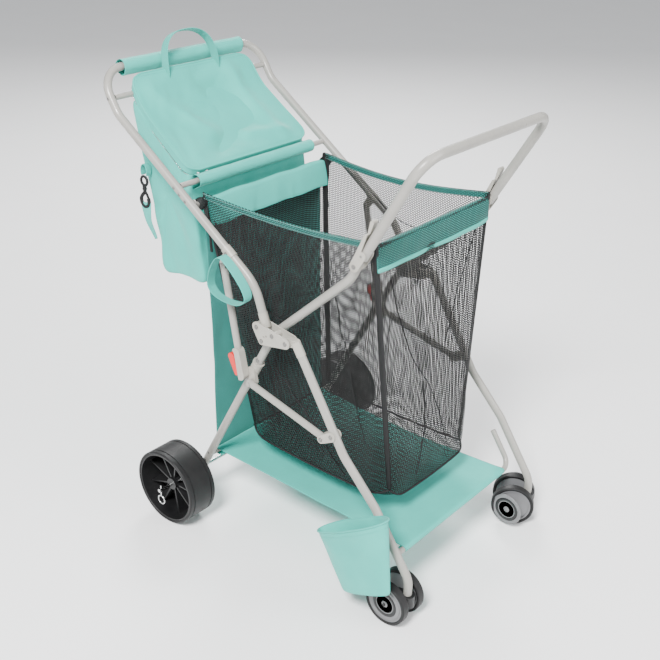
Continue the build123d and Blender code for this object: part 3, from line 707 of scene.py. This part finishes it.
def basketTapes():
    parts = []
    width = basketSizes["tape"] * mm
    for corner, (dx, dy) in enumerate(((-1, -1), (1, -1), (1, 1), (-1, 1))):
        spot = [onWall(corner, t / 24) + Vector((dx, dy, 0)) * 0.7 * mm for t in range(25)]
        steps = [Vector((-dx * width, 0, 0)), Vector((-dx * width * 0.4, 0, 0)), Vector(),
                 Vector((0, -dy * width * 0.4, 0)), Vector((0, -dy * width, 0))]
        rows = [[p + step for step in steps] for p in spot]
        parts.append(gridPiece(f"cornerTape{corner}", rows, coats["blackTape"], wall=1.4 * mm))
    for leg in range(4):       # round the floor
        path = [onWall(leg + min(k / 30, 0.9999), 1.0, 0.8) for k in range(31)]
        parts.append(tubePiece(f"floorEdge{leg}", path, 2.4 * mm, coats["blackTape"]))
    return joined("basketTapes", parts)


def basketRimBands():
    # a doubled strip of net below each side's rim
    parts = []
    for leg in (0, 2):
        rows = [[onWall(leg + 0.005 + 0.99 * k / 40, t, 1.6) for k in range(41)] for t in (0.0, 0.012, 0.026)]
        parts.append(gridPiece(f"rimBand{leg}", rows, netOnTeal, wall=3.0 * mm))
        lines = [[onWall(leg + 0.01 + 0.98 * k / 60, t, lift) for k in range(61)] for lift in (3.9, -0.9)
                 for t in (0.004, 0.022)]       # on both faces of the strip
        parts.append(stitched(f"rimStitches{leg}", lines, 5.0 * mm, (3.4 * mm, 1.1 * mm, 1.1 * mm), threadPale))
    return parts


backBar = (13.4, 789.9)        # the middle of the bar that the basket's back hangs from
frontBar = (490.0, 806.0)      # the middle of the basket's front bar


def netBunches():
    # the net's back corners, gathered round the back bar and hanging from it
    parts = []
    for side in (-1, 1):
        rows = []
        for k in range(11):
            y = side * (201.0 + 2.3 * k)
            ring = []
            for a in range(0, 360, 15):
                dx, dz = math.cos(math.radians(a)), math.sin(math.radians(a))
                r = 9.6 + 3.4 * math.sin(math.pi * k / 10) + 2.2 * fold((30 * dx, y * 1.6, 30 * dz), 17.0, 91)
                r = max(8.0, r)       # it stays off the bar
                ring.append(place(backBar[0] + r * dx, y, backBar[1] + r * dz))
            rows.append(ring)
        parts.append(gridPiece(f"bunchRing{side}", rows, netBunched, closed=True, wall=1.2 * mm))
        rows = []
        for k in range(25):
            t = k / 24
            x, z = 17.0 + 15.0 * t, 806.0 - 130.0 * t
            wide = 13.0 * (1 - t) ** 0.7 + 3.0
            rows.append([place(x + wide * (c + 0.2) + 2.5 * fold((x, 40 * c, z * 0.6), 20.0, 93),
                               side * (206.5 - 5.0 * t + 2.6 * math.cos(7 * c + 9 * t)), z)
                         for c in (-0.5, -0.3, -0.1, 0.1, 0.3, 0.5)])
        parts.append(gridPiece(f"bunchTail{side}", rows, netBunched, wall=1.6 * mm))
    return joined("netBunches", parts)


def frontFlap():
    # net on cloth, folded over the front bar and hanging outside the basket
    (barX, barZ), r, low = frontBar, 9.6, 764.0
    profile = [(barX - r, barZ - 20.0), (barX - r, barZ)] + arc(barX, barZ, r, range(165, -1, -15))
    profile += [(barX + r + 1.5, barZ - 12.0), (barX + r + 2.5, barZ - 26.0), (barX + r + 3.0, low)]
    along = [(-203.0 + 406.0 * j / 32, j / 32) for j in range(33)]

    def wavy(c):
        return 2.4 * math.sin(9.0 * c + 0.6) + 1.2 * math.sin(23.0 * c)
    rows = []
    for x, z in profile:
        hang = max(0.0, (barZ - z) / 45.0) if x > barX else 0.0
        rows.append([place(x + hang * wavy(c), y, z - 5.0 * hang * math.sin(math.pi * c)) for y, c in along])
    flap = gridPiece("frontFlap", rows, netOnTeal, wall=1.2 * mm)
    hem = [place(barX + r + 3.0 + wavy(c), y, low - 5.0 * math.sin(math.pi * c)) for y, c in along]
    section = ((-1.6, 9.0), (1.9, 9.0), (2.2, 0.0), (0.2, -2.2), (-1.8, 0.0))
    rows = list(map(list, zip(*[moved(hem, x, 0, z) for x, z in section])))
    edge = gridPiece("flapHem", rows, clothAqua, closed=True, caps=True)
    seam = stitched("flapStitches", [moved(hem, 2.6, 0, 6.5)], 4.0 * mm, (2.6 * mm, 0.7 * mm, 0.7 * mm), clothAqua)
    return flap, edge, seam


def rearBand():
    # cloth wrapped round the back bar, with a tail inside the basket
    (x0, z0), r = backBar, 8.6
    profile = [(x0 - r - 0.5, z0 - 26.0)] + arc(x0, z0, r, range(180, -1, -20))
    profile += [(x0 + r + 3.0, z0 - 8.0), (x0 + r + 6.5, z0 - 28.0), (x0 + r + 9.0, z0 - 46.0),
                (x0 + r + 10.0, z0 - 53.0)]
    rows = []
    for x, z in profile:
        loose = max(0.0, (z0 - z) / 50.0) if x > x0 else 0.0
        rows.append([place(x + 0.7 * math.sin(0.07 * y) + 3.4 * loose * fold((0, y, z * 0.4), 60.0, 27), y,
                           z + 1.2 * math.sin(0.05 * y)) for y in range(-202, 203, 6)])
    sleeve = gridPiece("rearBand", rows, clothAqua, wall=1.4 * mm)
    seam = stitched("rearBandStitches", [moved(rows[-1], 1.0, 0, 7.0)], 4.2 * mm, (2.8 * mm, 0.8 * mm, 0.8 * mm),
                    webAqua)
    return sleeve, seam


walls = basketWalls()
floorNet = basketFloor()
tapes = basketTapes()
creases = basketCreases()
rimBands = basketRimBands()
bunches = netBunches()
dressed([bunches], "rail_frame")
flap, flapHem, flapSeam = frontFlap()
backBand, backSeam = rearBand()
for piece in [walls, tapes, creases] + rimBands:
    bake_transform(piece)
dressed((floorNet, flap), "chassis")
dressed((flapHem, flapSeam), "chassis")
dressed((backBand, backSeam), "rail_frame")
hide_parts("basket")
print("stage: basket made")


panelSizes = dict(top=(11.5, 781.0), low=(27.5, 148.5), half=200.0, slack=7.0)
sheetSizes = dict(back=24.7, front=606.0, backZ=140.7, frontZ=140.0, half=203.0, slack=13.0)


def backPanel():
    p = panelSizes
    rows = []
    for i in range(41):
        t = i / 40
        x = p["top"][0] + (p["low"][0] - p["top"][0]) * t
        z = p["top"][1] + (p["low"][1] - p["top"][1]) * t
        row = []
        for j in range(29):
            c = j / 28
            y = p["half"] * (2 * c - 1)
            pull = 5.0 * math.sin(math.pi * t) * abs(2 * c - 1) ** 3
            belly = p["slack"] * math.sin(math.pi * t) * math.sin(math.pi * c)
            wave = 3.2 * math.sin(math.pi * t) * fold((0, y * 1.4, z * 0.5), 80.0, 31)
            row.append(place(x - belly * 0.9 - 1.5 + wave - 1.0, y - math.copysign(pull, y), z))
        rows.append(row)
    return gridPiece("backPanel", rows, clothPanelShaded, wall=1.2 * mm)


def bottomSheet():
    s = sheetSizes
    rows = []
    r = 7.4
    profile = [(s["back"] + 20.0, s["backZ"] - r - 1.0)] + arc(s["back"], s["backZ"], r, range(270, 89, -30))
    span = s["front"] - s["back"]
    for i in range(1, 34):
        t = i / 34
        z = s["backZ"] + r - 1.0 + (s["frontZ"] - s["backZ"]) * t - s["slack"] * math.sin(math.pi * t)
        profile.append((s["back"] + span * t, z))
    profile += arc(s["front"], s["frontZ"], r, range(90, -91, -30))
    profile.append((s["front"] - 20.0, s["frontZ"] - r - 1.0))
    count = len(profile)
    for i, (x, z) in enumerate(profile):
        row = []
        free = math.sin(math.pi * min(max((x - s["back"]) / span, 0), 1)) if 7 < i < count - 8 else 0.0
        for j in range(25):
            c = j / 24
            y = s["half"] * (2 * c - 1)
            pull = 9.0 * free * abs(2 * c - 1) ** 3
            lift = free * (3.0 * fold((x * 0.45, y * 1.3, 0), 75.0, 41) + 5.0 * abs(2 * c - 1) ** 4)
            row.append(place(x, y - math.copysign(pull, y), z + lift))
        rows.append(row)
    return gridPiece("bottomSheet", rows, clothAqua, wall=1.2 * mm)


panel = backPanel()
bottom = bottomSheet()
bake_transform(panel)
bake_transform(bottom)
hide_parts("back_panel")
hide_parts("bottom_sheet")
print("stage: panels made")


bagSizes = dict(half=197.0, corner=26.0, capSteps=(0.04, 0.35, 0.6, 0.8, 0.92, 0.985), bulge=5.0, dent=8.0)
bagProfile = [(-219.0, 979.0), (-37.0, 837.0), (-36.0, 811.0), (0.0, 578.0), (-148.0, 572.0), (-183.0, 782.0),
              (-231.0, 978.0)]


def bagBody():
    b = bagSizes
    loop = resampled(rounded(bagProfile, 18.0, closed=True), 72, closed=True)
    middle = loop.mean(0)

    def ring(scale, y):
        return [(middle[0] + (p[0] - middle[0]) * scale, y, middle[1] + (p[1] - middle[1]) * scale) for p in loop]
    half, corner = b["half"], b["corner"]
    cap = [ring(s, -half + (1 - math.sqrt(max(0.0, 1 - max(0, s - 0.86) ** 2 / 0.14 ** 2))) * corner * 0.4
                + 6.0 * (1 - s)) for s in b["capSteps"]]
    rows = list(cap)
    for k in range(29):
        y = -half + corner * 0.45 + (2 * half - 0.9 * corner) * k / 28
        c = abs(2 * k / 28 - 1)
        rows.append(ring(1.0 + 0.012 * (1 - c ** 2), y))
    rows += [[(x, -y, z) for x, y, z in row] for row in cap[::-1]]
    grid = np.array([[list(place(*p)) for p in row] for row in rows])
    normals = gridNormals(np.concatenate([grid[:, -1:], grid, grid[:, :1]], 1))[:, 1:-1]
    for i in range(len(rows)):
        for j in range(grid.shape[1]):
            p = grid[i, j] / mm
            low = eased((820.0 - p[2]) / 160.0)
            amount = (2.6 + 6.0 * low) * fold((p[0] * 1.2, p[1] * 1.2, p[2] * 0.6), 70.0, 51)
            grid[i, j] += normals[i, j] * mm * max(-b["dent"], min(b["bulge"], -amount))
    return gridPiece("bagBody", grid, clothAqua, closed=True, caps=True)


lidSizes = dict(half=201.0, narrow=13.0, bagBar=(-225.3, 988.2), corner=32.0, sag=9.0, wrinkle=3.4)
lidCreases = [((128.0, 20.0), (110.0, 262.0), 34.0, 12.0), ((-110.0, 5.0), (70.0, 120.0), 46.0, -14.0),
              ((-168.0, 262.0), (-60.0, 95.0), 46.0, 11.0), ((10.0, 275.0), (70.0, 120.0), 52.0, -13.0),
              ((150.0, 30.0), (30.0, 60.0), 24.0, 9.0), ((-150.0, 120.0), (-175.0, 20.0), 26.0, -8.0)]
lidPath = [(-33.0, 846.5), (-60.0, 868.0), (-125.0, 912.0), (-185.0, 955.0), (-214.5, 996.0), (-236.0, 1026.0)]


def creased(across, along):
    # broad folds left by storage: each is a line on the flat lid, a width and a height
    total = 0.0
    for a, b, width, height in lidCreases:
        run = np.subtract(b, a)
        t = min(max(np.dot(np.subtract((across, along), a), run) / np.dot(run, run), 0.0), 1.0)
        away = math.dist((across, along), tuple(np.add(a, run * t)))
        total += height * max(0.0, 1 - away / width) ** 1.4
    return total


def lidGrid(lift=0.0, inset=0.0):
    line = resampled(rounded(lidPath, 40.0), 37)
    total = sum(np.linalg.norm(np.diff(line, axis=0), axis=1))
    rows, done = [], 0.0
    size = lidSizes
    for i, p in enumerate(line):
        if i:
            done += np.linalg.norm(p - line[i - 1])
        near = min(done, total - done)
        cut = size["corner"] - math.sqrt(max(0.0, size["corner"] ** 2 - max(0.0, size["corner"] - near) ** 2))
        half = size["half"] - size["narrow"] * done / total - cut - inset
        ahead = line[min(i + 1, len(line) - 1)] - line[max(i - 1, 0)]
        ahead /= np.linalg.norm(ahead)
        up = np.array([ahead[1], -ahead[0]]) if ahead[0] < 0 else np.array([-ahead[1], ahead[0]])
        t = done / total
        row = []
        for j in range(41):
            c = 2 * j / 40 - 1
            y = half * c
            hold = (1 - abs(c) ** 4) * min(1.0, 7 * t, 7 * (1 - t))
            wave = size["wrinkle"] * (fold((p[0] + 0.5 * y, y * 0.9, p[1]), 95.0, 61)
                                      + 0.55 * fold((p[0] - 0.7 * y, y, p[1]), 48.0, 67))
            push = (-size["sag"] * math.sin(math.pi * t) * (1 - c * c) + wave + creased(y, done)) * hold
            toBar = math.dist(p, size["bagBar"])       # the lid lies on the bag's bar, so it can't dip through it
            push = max(push, -2.5 - 0.5 * max(0.0, toBar - 12.0)) + lift
            row.append((p[0] + up[0] * push, y, p[1] + up[1] * push))
        rows.append(row)
    return rows


def outline(rows):
    # the outer points of a grid, in turn round it
    return [row[0] for row in rows] + list(rows[-1]) + [row[-1] for row in rows[::-1]] + list(rows[0][::-1])


def bagLid():
    rows = [[place(*p) for p in row] for row in lidGrid(2.0)]
    lid = gridPiece("bagLid", rows, clothAqua, wall=2.4 * mm)
    edge = [Vector(p) for p in resampled(outline(rows), 150, closed=True)]
    piping = tubePiece("lidPiping", edge, 2.3 * mm, clothAqua, closed=True)
    chain = [place(*p) for p in outline(lidGrid(4.4, 9.0)[1:-1])]
    seam = stitched("lidStitches", [chain], 4.6 * mm, (3.0 * mm, 0.8 * mm, 0.8 * mm), webAqua)
    down = Vector((-0.42, 0, -0.9))       # the way the lid's side hangs
    skirtRows = [[p + down * low * mm for p in edge] for low in (0.0, 5.0, 11.0, 17.0)]
    skirt = gridPiece("lidSkirt", skirtRows, clothAqua, closed=True, wall=1.2 * mm)
    zipLine = [p + down * 18.5 * mm for p in edge]
    teeth = stitched("zipTeeth", [zipLine + [zipLine[0]]], 3.0 * mm, (1.9 * mm, 2.6 * mm, 2.6 * mm), coats["wire"])
    pulls = []
    for offset in (0.0, 26.0):       # two sliders with wire pulls, at the near lower corner
        x, y, z = -44.0, -(lidSizes["half"] - 30.0) + offset, 838.0
        barrel = [(0.0, -4.5), (2.6, -4.5), (3.6, -3.0), (3.9, 0.0), (3.4, 3.4), (2.2, 4.5), (0.0, 4.5)]
        pulls.append(turnedPiece("zipSlider", barrel, place(x + 9.0, y, z + 1.0), (0, 1, 0), coats["wire"],
                                 sides=16))
        wire = [place(x + 11.0 + 2.0 * math.sin(a), y + 3.2 * math.cos(a), z - 9.0 + 9.0 * math.sin(a))
                for a in np.linspace(0, 2 * math.pi, 13)[:-1]]
        pulls.append(tubePiece("zipPull", wire, 1.0 * mm, coats["wire"], closed=True))
    return lid, piping, seam, skirt, teeth, joined("zipPulls", pulls)


body = bagBody()
lid, piping, lidSeam, skirt, teeth, zipPulls = bagLid()
dressed((body, lid, piping, lidSeam, skirt, teeth, zipPulls), "rail_frame")
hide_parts("tote_bag")


sleeveSizes = dict(top=(-260.8, 1043.8), topHalf=190.0, lidBar=(-20.4, 829.0), lidHalf=193.0)


def barSleeve(name, centre, inner, tail, tailWay, half, seed):
    # a loose cloth tube with a flat sewn hem
    rows = []
    for k in range(47):
        y = -half + 2 * half * k / 46
        ends = abs(2 * k / 46 - 1)
        ring = []
        for a in range(0, 360, 12):
            direction = np.array([math.cos(math.radians(a)), math.sin(math.radians(a))])
            toTail = direction @ np.array([math.cos(tailWay), math.sin(tailWay)])
            r = inner + tail * max(0.0, toTail) ** 14
            r += 0.7 * fold((centre[0] + 30 * direction[0], y * 0.9, centre[1] + 30 * direction[1]), 34.0, seed)
            r += 0.9 * ends ** 20
            ring.append(place(centre[0] + direction[0] * r, y, centre[1] + direction[1] * r))
        rows.append(ring)
    return gridPiece(name, rows, clothAqua, closed=True, wall=1.1 * mm, side=-1.0)


topSleeve = barSleeve("topSleeve", sleeveSizes["top"], 15.2, 5.0, math.radians(-70),
                      sleeveSizes["topHalf"], 71)
lidSleeve = barSleeve("lidSleeve", sleeveSizes["lidBar"], 13.0, 9.0, math.radians(-120),
                      sleeveSizes["lidHalf"], 73)
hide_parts("bar_sleeves")
dressed((topSleeve, lidSleeve), "rail_frame")
print("stage: bag made")


strapSizes = dict(width=25.0, wall=1.8, archHalf=80.0, archTop=1105.0, archFoot=1002.0)


def carryHandle():
    s = strapSizes
    path, x0 = [], -246.0
    rise = s["archTop"] - s["archFoot"]
    for k in range(33):
        a = math.pi * k / 32
        lean = 1.0 - math.sin(a)
        across = math.copysign(abs(math.cos(a)) ** 0.8, math.cos(a))
        path.append(place(x0 + 11.0 - 9.0 * (1 - lean) + 6.0 * lean, -s["archHalf"] * across - 10.0 * (1 - lean),
                          s["archFoot"] + rise * math.sin(a) ** 0.62))
    strap = band("carryHandle", path, (0.93, 0.0, 0.36), s["width"] * mm, s["wall"] * mm, webAqua)
    seams, flat = [], Vector((0.93, 0, 0.36)).normalized()
    for offset in (-9.5, 9.5):
        for lift in (-1.2, 1.2):
            line = []
            for k in range(2, 31):
                tangent = (path[k + 1] - path[k - 1]).normalized()
                out = tangent.cross(flat).normalized()
                line.append(path[k] + flat * offset * mm + out * lift * mm)
            seams.append(line)
    return strap, stitched("handleStitches", seams, 4.2 * mm, (2.8 * mm, 0.7 * mm, 0.7 * mm), clothAqua)


def sideStrap():
    # a tab that narrows down to the bag, and the short loop that the hook hangs from
    y = -209.0
    rows = []
    for k in range(17):
        t = k / 16
        x, z = -178.0 + 20.0 * t, 744.0 - 90.0 * t
        width = 38.0 * (1 - t) + 7.0 * t
        bow = 3.0 * math.sin(math.pi * t)
        tuck = 9.0 * eased(t * 1.6 - 0.6)
        rows.append([place(x + width * (c - 0.5), y - bow + 0.8 * math.sin(9 * c + 5 * t) + tuck, z + 3.0 * c)
                     for c in (0.0, 0.05, 0.25, 0.5, 0.75, 0.95, 1.0)])
    tab = gridPiece("sideTab", rows, webAqua, wall=1.6 * mm)
    turns = [math.radians(-40 + 260 * k / 14) for k in range(15)]
    loop = [place(-174.0 + 10.0 * math.cos(a), y + 3.0, 822.0 + 17.0 * math.sin(a)) for a in turns]
    return tab, band("sideLoop", loop, (0, 1, 0), 15.0 * mm, 1.6 * mm, webAqua)


def snapHook():
    # a swivel snap hook: eye, barrel, hook and its spring gate
    x, y, z, black = -178.4, -209.0, 797.0, coats["blackTape"]
    eye = [place(x + 11.0 * math.cos(a), y, z + 11.0 * math.sin(a)) for a in np.linspace(0, 2 * math.pi, 13)[:-1]]
    parts = [tubePiece("hookEye", eye, 3.2 * mm, black, closed=True)]
    barrel = [(0.0, 8.0), (4.6, 8.0), (5.6, 6.0), (4.4, 2.5), (5.8, 0.0), (4.2, -7.0), (3.4, -11.0), (0.0, -11.0)]
    parts.append(turnedPiece("hookBarrel", barrel, place(x, y, z - 18.0), (0, 0, 1), black, sides=20))
    bend = [(0, -28), (-9, -35), (-15, -45), (-12, -57), (-1, -64), (10, -60), (14, -50), (11, -41)]
    parts.append(tubePiece("hookBend", [place(x + a, y, z + b) for a, b in bend], 4.4 * mm, black))
    gate = [(11, -41), (8, -33), (1, -26)]
    parts.append(tubePiece("hookGate", [place(x + a, y + 0.5, z + b) for a, b in gate], 3.0 * mm, black))
    return joined("snapHook", parts)


def umbrellaLoop():
    cx, cz, y = 167.3, 674.9, -277.0
    shape = [(-24, 51), (14, 26), (46, -8), (57, -32), (34, -50), (-2, -55), (-40, -50), (-61, -34), (-57, -4),
             (-44, 26)]
    line = resampled(rounded(shape, 22.0, closed=True), 49, closed=True)
    path = [place(cx + a, y, cz + b) for a, b in line]
    tilt = [(0.0, 1.0, 0.12 * math.sin(2 * math.pi * k / 49)) for k in range(49)]
    return band("umbrellaLoop", path, tilt, 24.0 * mm, 1.7 * mm, webAqua, closed=True)


handleStrap, handleSeam = carryHandle()
tab, hookLoop = sideStrap()
hook = snapHook()
webLoop = umbrellaLoop()
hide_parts("bag_straps")
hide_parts("snap_hook")
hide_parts("umbrella_loop")
dressed((handleStrap, handleSeam, tab, hookLoop, webLoop), "rail_frame")
dressed([hook], "rail_frame")


pouchSizes = dict(mouth=(534.0, 224.0), foot=(597.0, 87.0), mouthLong=106.0, mouthWide=30.0, footLong=68.0,
                  footWide=11.5, mouthY=-293.5, footY=-316.0, mouthTilt=7.0)


def pouchRing(t, grow=0.0):
    # t runs from the foot, 0, to the mouth, 1
    p = pouchSizes
    dx, dz = p["mouth"][0] - p["foot"][0], p["mouth"][1] - p["foot"][1]
    depth = math.hypot(dx, dz)
    up = (dx / depth, dz / depth)
    turn = math.radians(p["mouthTilt"]) * t
    across = (up[1] * math.cos(turn) + up[0] * math.sin(turn), -up[0] * math.cos(turn) + up[1] * math.sin(turn))
    longR = p["footLong"] + (p["mouthLong"] - p["footLong"]) * t + grow
    wideR = p["footWide"] + (p["mouthWide"] - p["footWide"]) * t ** 0.8 + grow
    y0 = p["footY"] + (p["mouthY"] - p["footY"]) * t
    ring = []
    for k in range(64):
        a = 2 * math.pi * k / 64
        c = math.copysign(abs(math.cos(a)) ** 0.75, math.cos(a))
        s = math.sin(a)
        x = p["foot"][0] + up[0] * depth * t + across[0] * longR * c
        z = p["foot"][1] + up[1] * depth * t + across[1] * longR * c
        dent = 3.4 * t * fold((x * 1.1, y0 + 60 * s, z * 0.8), 46.0, 81) * min(1.0, 3.0 * t)
        y = y0 + (wideR + dent) * s
        ring.append(place(x, y, z))
    return ring


def umbrellaPouch():
    foot = pouchRing(0.0)
    middle = sum(foot, Vector()) / len(foot)
    rows = [[middle.lerp(p, s) for p in foot] for s in (0.05, 0.4, 0.75, 0.95)]
    rows += [pouchRing(0.03 + 0.955 * k / 16) for k in range(17)]
    shell = gridPiece("umbrellaPouch", rows, clothAqua, closed=True, wall=1.6 * mm, side=-1.0)
    edge = tubePiece("pouchHem", pouchRing(0.985, 0.8), 2.0 * mm, clothAqua, closed=True)
    line = pouchRing(0.91, 1.1)
    seam = stitched("pouchStitches", [line + [line[0]]], 4.6 * mm, (3.0 * mm, 0.8 * mm, 0.8 * mm), webAqua)
    return shell, edge, seam


pouch, pouchHem, pouchSeam = umbrellaPouch()
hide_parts("umbrella_pouch")
dressed((pouch, pouchHem, pouchSeam), "front_frame")
print("stage: straps and pouch made")


cameraSizes = dict(position=(1.4165, -1.6856, 1.5731), azimuth=39.53, elevation=26.64, roll=1.33, lens=56.28,
                   shiftX=-0.0082, shiftY=-0.0025)


def addCamera():
    c = cameraSizes
    az, el, roll = (math.radians(c[k]) for k in ("azimuth", "elevation", "roll"))
    back = Vector((math.sin(az) * math.cos(el), -math.cos(az) * math.cos(el), math.sin(el)))
    right = Vector((0, 0, 1)).cross(back).normalized()
    up = back.cross(right)
    turnedRight = right * math.cos(roll) + up * math.sin(roll)
    turnedUp = -right * math.sin(roll) + up * math.cos(roll)
    data = bpy.data.cameras.new("camera")
    data.lens = c["lens"]
    data.sensor_width = 36.0
    data.sensor_fit = "HORIZONTAL"
    data.shift_x, data.shift_y = c["shiftX"], c["shiftY"]
    data.clip_end = 100.0
    camera = bpy.data.objects.new("camera", data)
    basis = Matrix((turnedRight, turnedUp, back)).transposed().to_4x4()
    basis.translation = Vector(c["position"])
    camera.matrix_world = basis
    bpy.context.scene.collection.objects.link(camera)
    bpy.context.scene.camera = camera


def addFloor():
    mesh = bpy.data.meshes.new("floor")
    size, steps = 14.0, 24
    line = [-size + 2 * size * i / steps for i in range(steps + 1)]
    wide = steps + 1
    mesh.from_pydata([(x, y, 0.0) for x in line for y in line], [],
                     [(i * wide + j, (i + 1) * wide + j, (i + 1) * wide + j + 1, i * wide + j + 1)
                      for i in range(steps) for j in range(steps)])
    material, tree, shader = blankMaterial("paleFloor")
    where = tree.nodes.new("ShaderNodeTexCoord").outputs["Object"]
    tone = mixed(tree, noiseAt(tree, where, 3.0), (0.86, 0.86, 0.86, 1), (0.9, 0.9, 0.9, 1))
    feed(tree, shader, {"Base Color": tone, "Roughness": 0.8})
    mesh.materials.append(material)
    newObject("floor", mesh)


def addLight(name, spot, aim, size, power):
    data = bpy.data.lights.new(name, "AREA")
    data.shape = "DISK"
    data.size = size
    data.energy = power
    lamp = bpy.data.objects.new(name, data)
    lamp.location = spot
    lamp.rotation_euler = (Vector(aim) - Vector(spot)).to_track_quat("-Z", "Y").to_euler()
    bpy.context.scene.collection.objects.link(lamp)


addCamera()
addFloor()
addLight("keyLight", (1.2, -3.0, 3.8), (0, 0, 0.5), 1.3, 560)
addLight("fillLight", (3.4, 0.8, 2.2), (0, 0, 0.5), 2.4, 110)
addLight("rimLight", (-2.4, 2.6, 3.0), (0, 0, 0.6), 1.8, 190)
world = bpy.data.worlds.new("studio")
bpy.context.scene.world = world
world.use_nodes = True
feed(world.node_tree, world.node_tree.nodes["Background"], {"Color": (0.95, 0.97, 1.0, 1), "Strength": 0.62})
print("stage: camera, floor and light set")

capSizes = dict(lip=0.9, groove=0.74, rise=1.3, boss=6.5)


def casterCap(side, way):
    # a moulded lip, a shallow dish and a screw cap on a caster wheel's open face
    low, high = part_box(f"caster_hub_{side}_{way}")
    out = (-1 if side == "left" else 1) * (1 if way == "outer" else -1)
    r = (high.z - low.z) / 2 / mm
    c, face = capSizes, (high.y if out > 0 else low.y)
    profile = [(0.0, 3.2), (2.6, 3.2), (3.0, 2.2), (c["boss"], 2.0), (c["boss"] + 1.5, 0.5), (r * 0.45, 0.3),
               (r * 0.5, 0.9), (r * c["groove"], 0.9), (r * c["groove"] + 0.8, c["rise"]), (r * c["lip"], c["rise"]),
               (r * c["lip"] + 0.8, -0.6)]
    centre = Vector(((low.x + high.x) / 2, face, (low.z + high.z) / 2))
    disc = turnedPiece("disc", profile, centre, (0, out, 0), coats["casterDisc"], sides=40)
    ring = [(r * 0.52, 0.7), (r * 0.54, 1.25), (r * 0.7, 1.25), (r * 0.72, 0.7)]       # the dark groove's floor
    groove = turnedPiece("groove", ring, centre, (0, out, 0), coats["wheelPlastic"], sides=40)
    return joined(f"casterCap_{side}_{way}", [disc, groove])


for side in ("left", "right"):
    for way in ("outer", "inner"):
        dressed([casterCap(side, way)], f"caster_wheel_{side}_{way}")


def railStuds():
    # small rivet heads on the rails' and posts' outer faces
    groups = {"rail_frame": [(-225.3, 988.2, 258.6), (-20.4, 829.0, 258.6), (14.0, 805.0, 258.6),
                             (-4.0, 817.0, 258.6)],
              "chassis": [(17.0, 126.5, 234.6), (31.0, 152.5, 234.6), (470.0, 771.0, 234.6)]}
    for body, spots in groups.items():
        points = [(place(x, side * y, z), (0, side, 0)) for x, z, y in spots for side in (-1, 1)]
        dressed([studded(f"smallRivets_{body}", points, 7.0 * mm, 3.4 * mm, coats["rivetHeadShaded"])], body)


railStuds()
print("stage: caps and small rivets made")
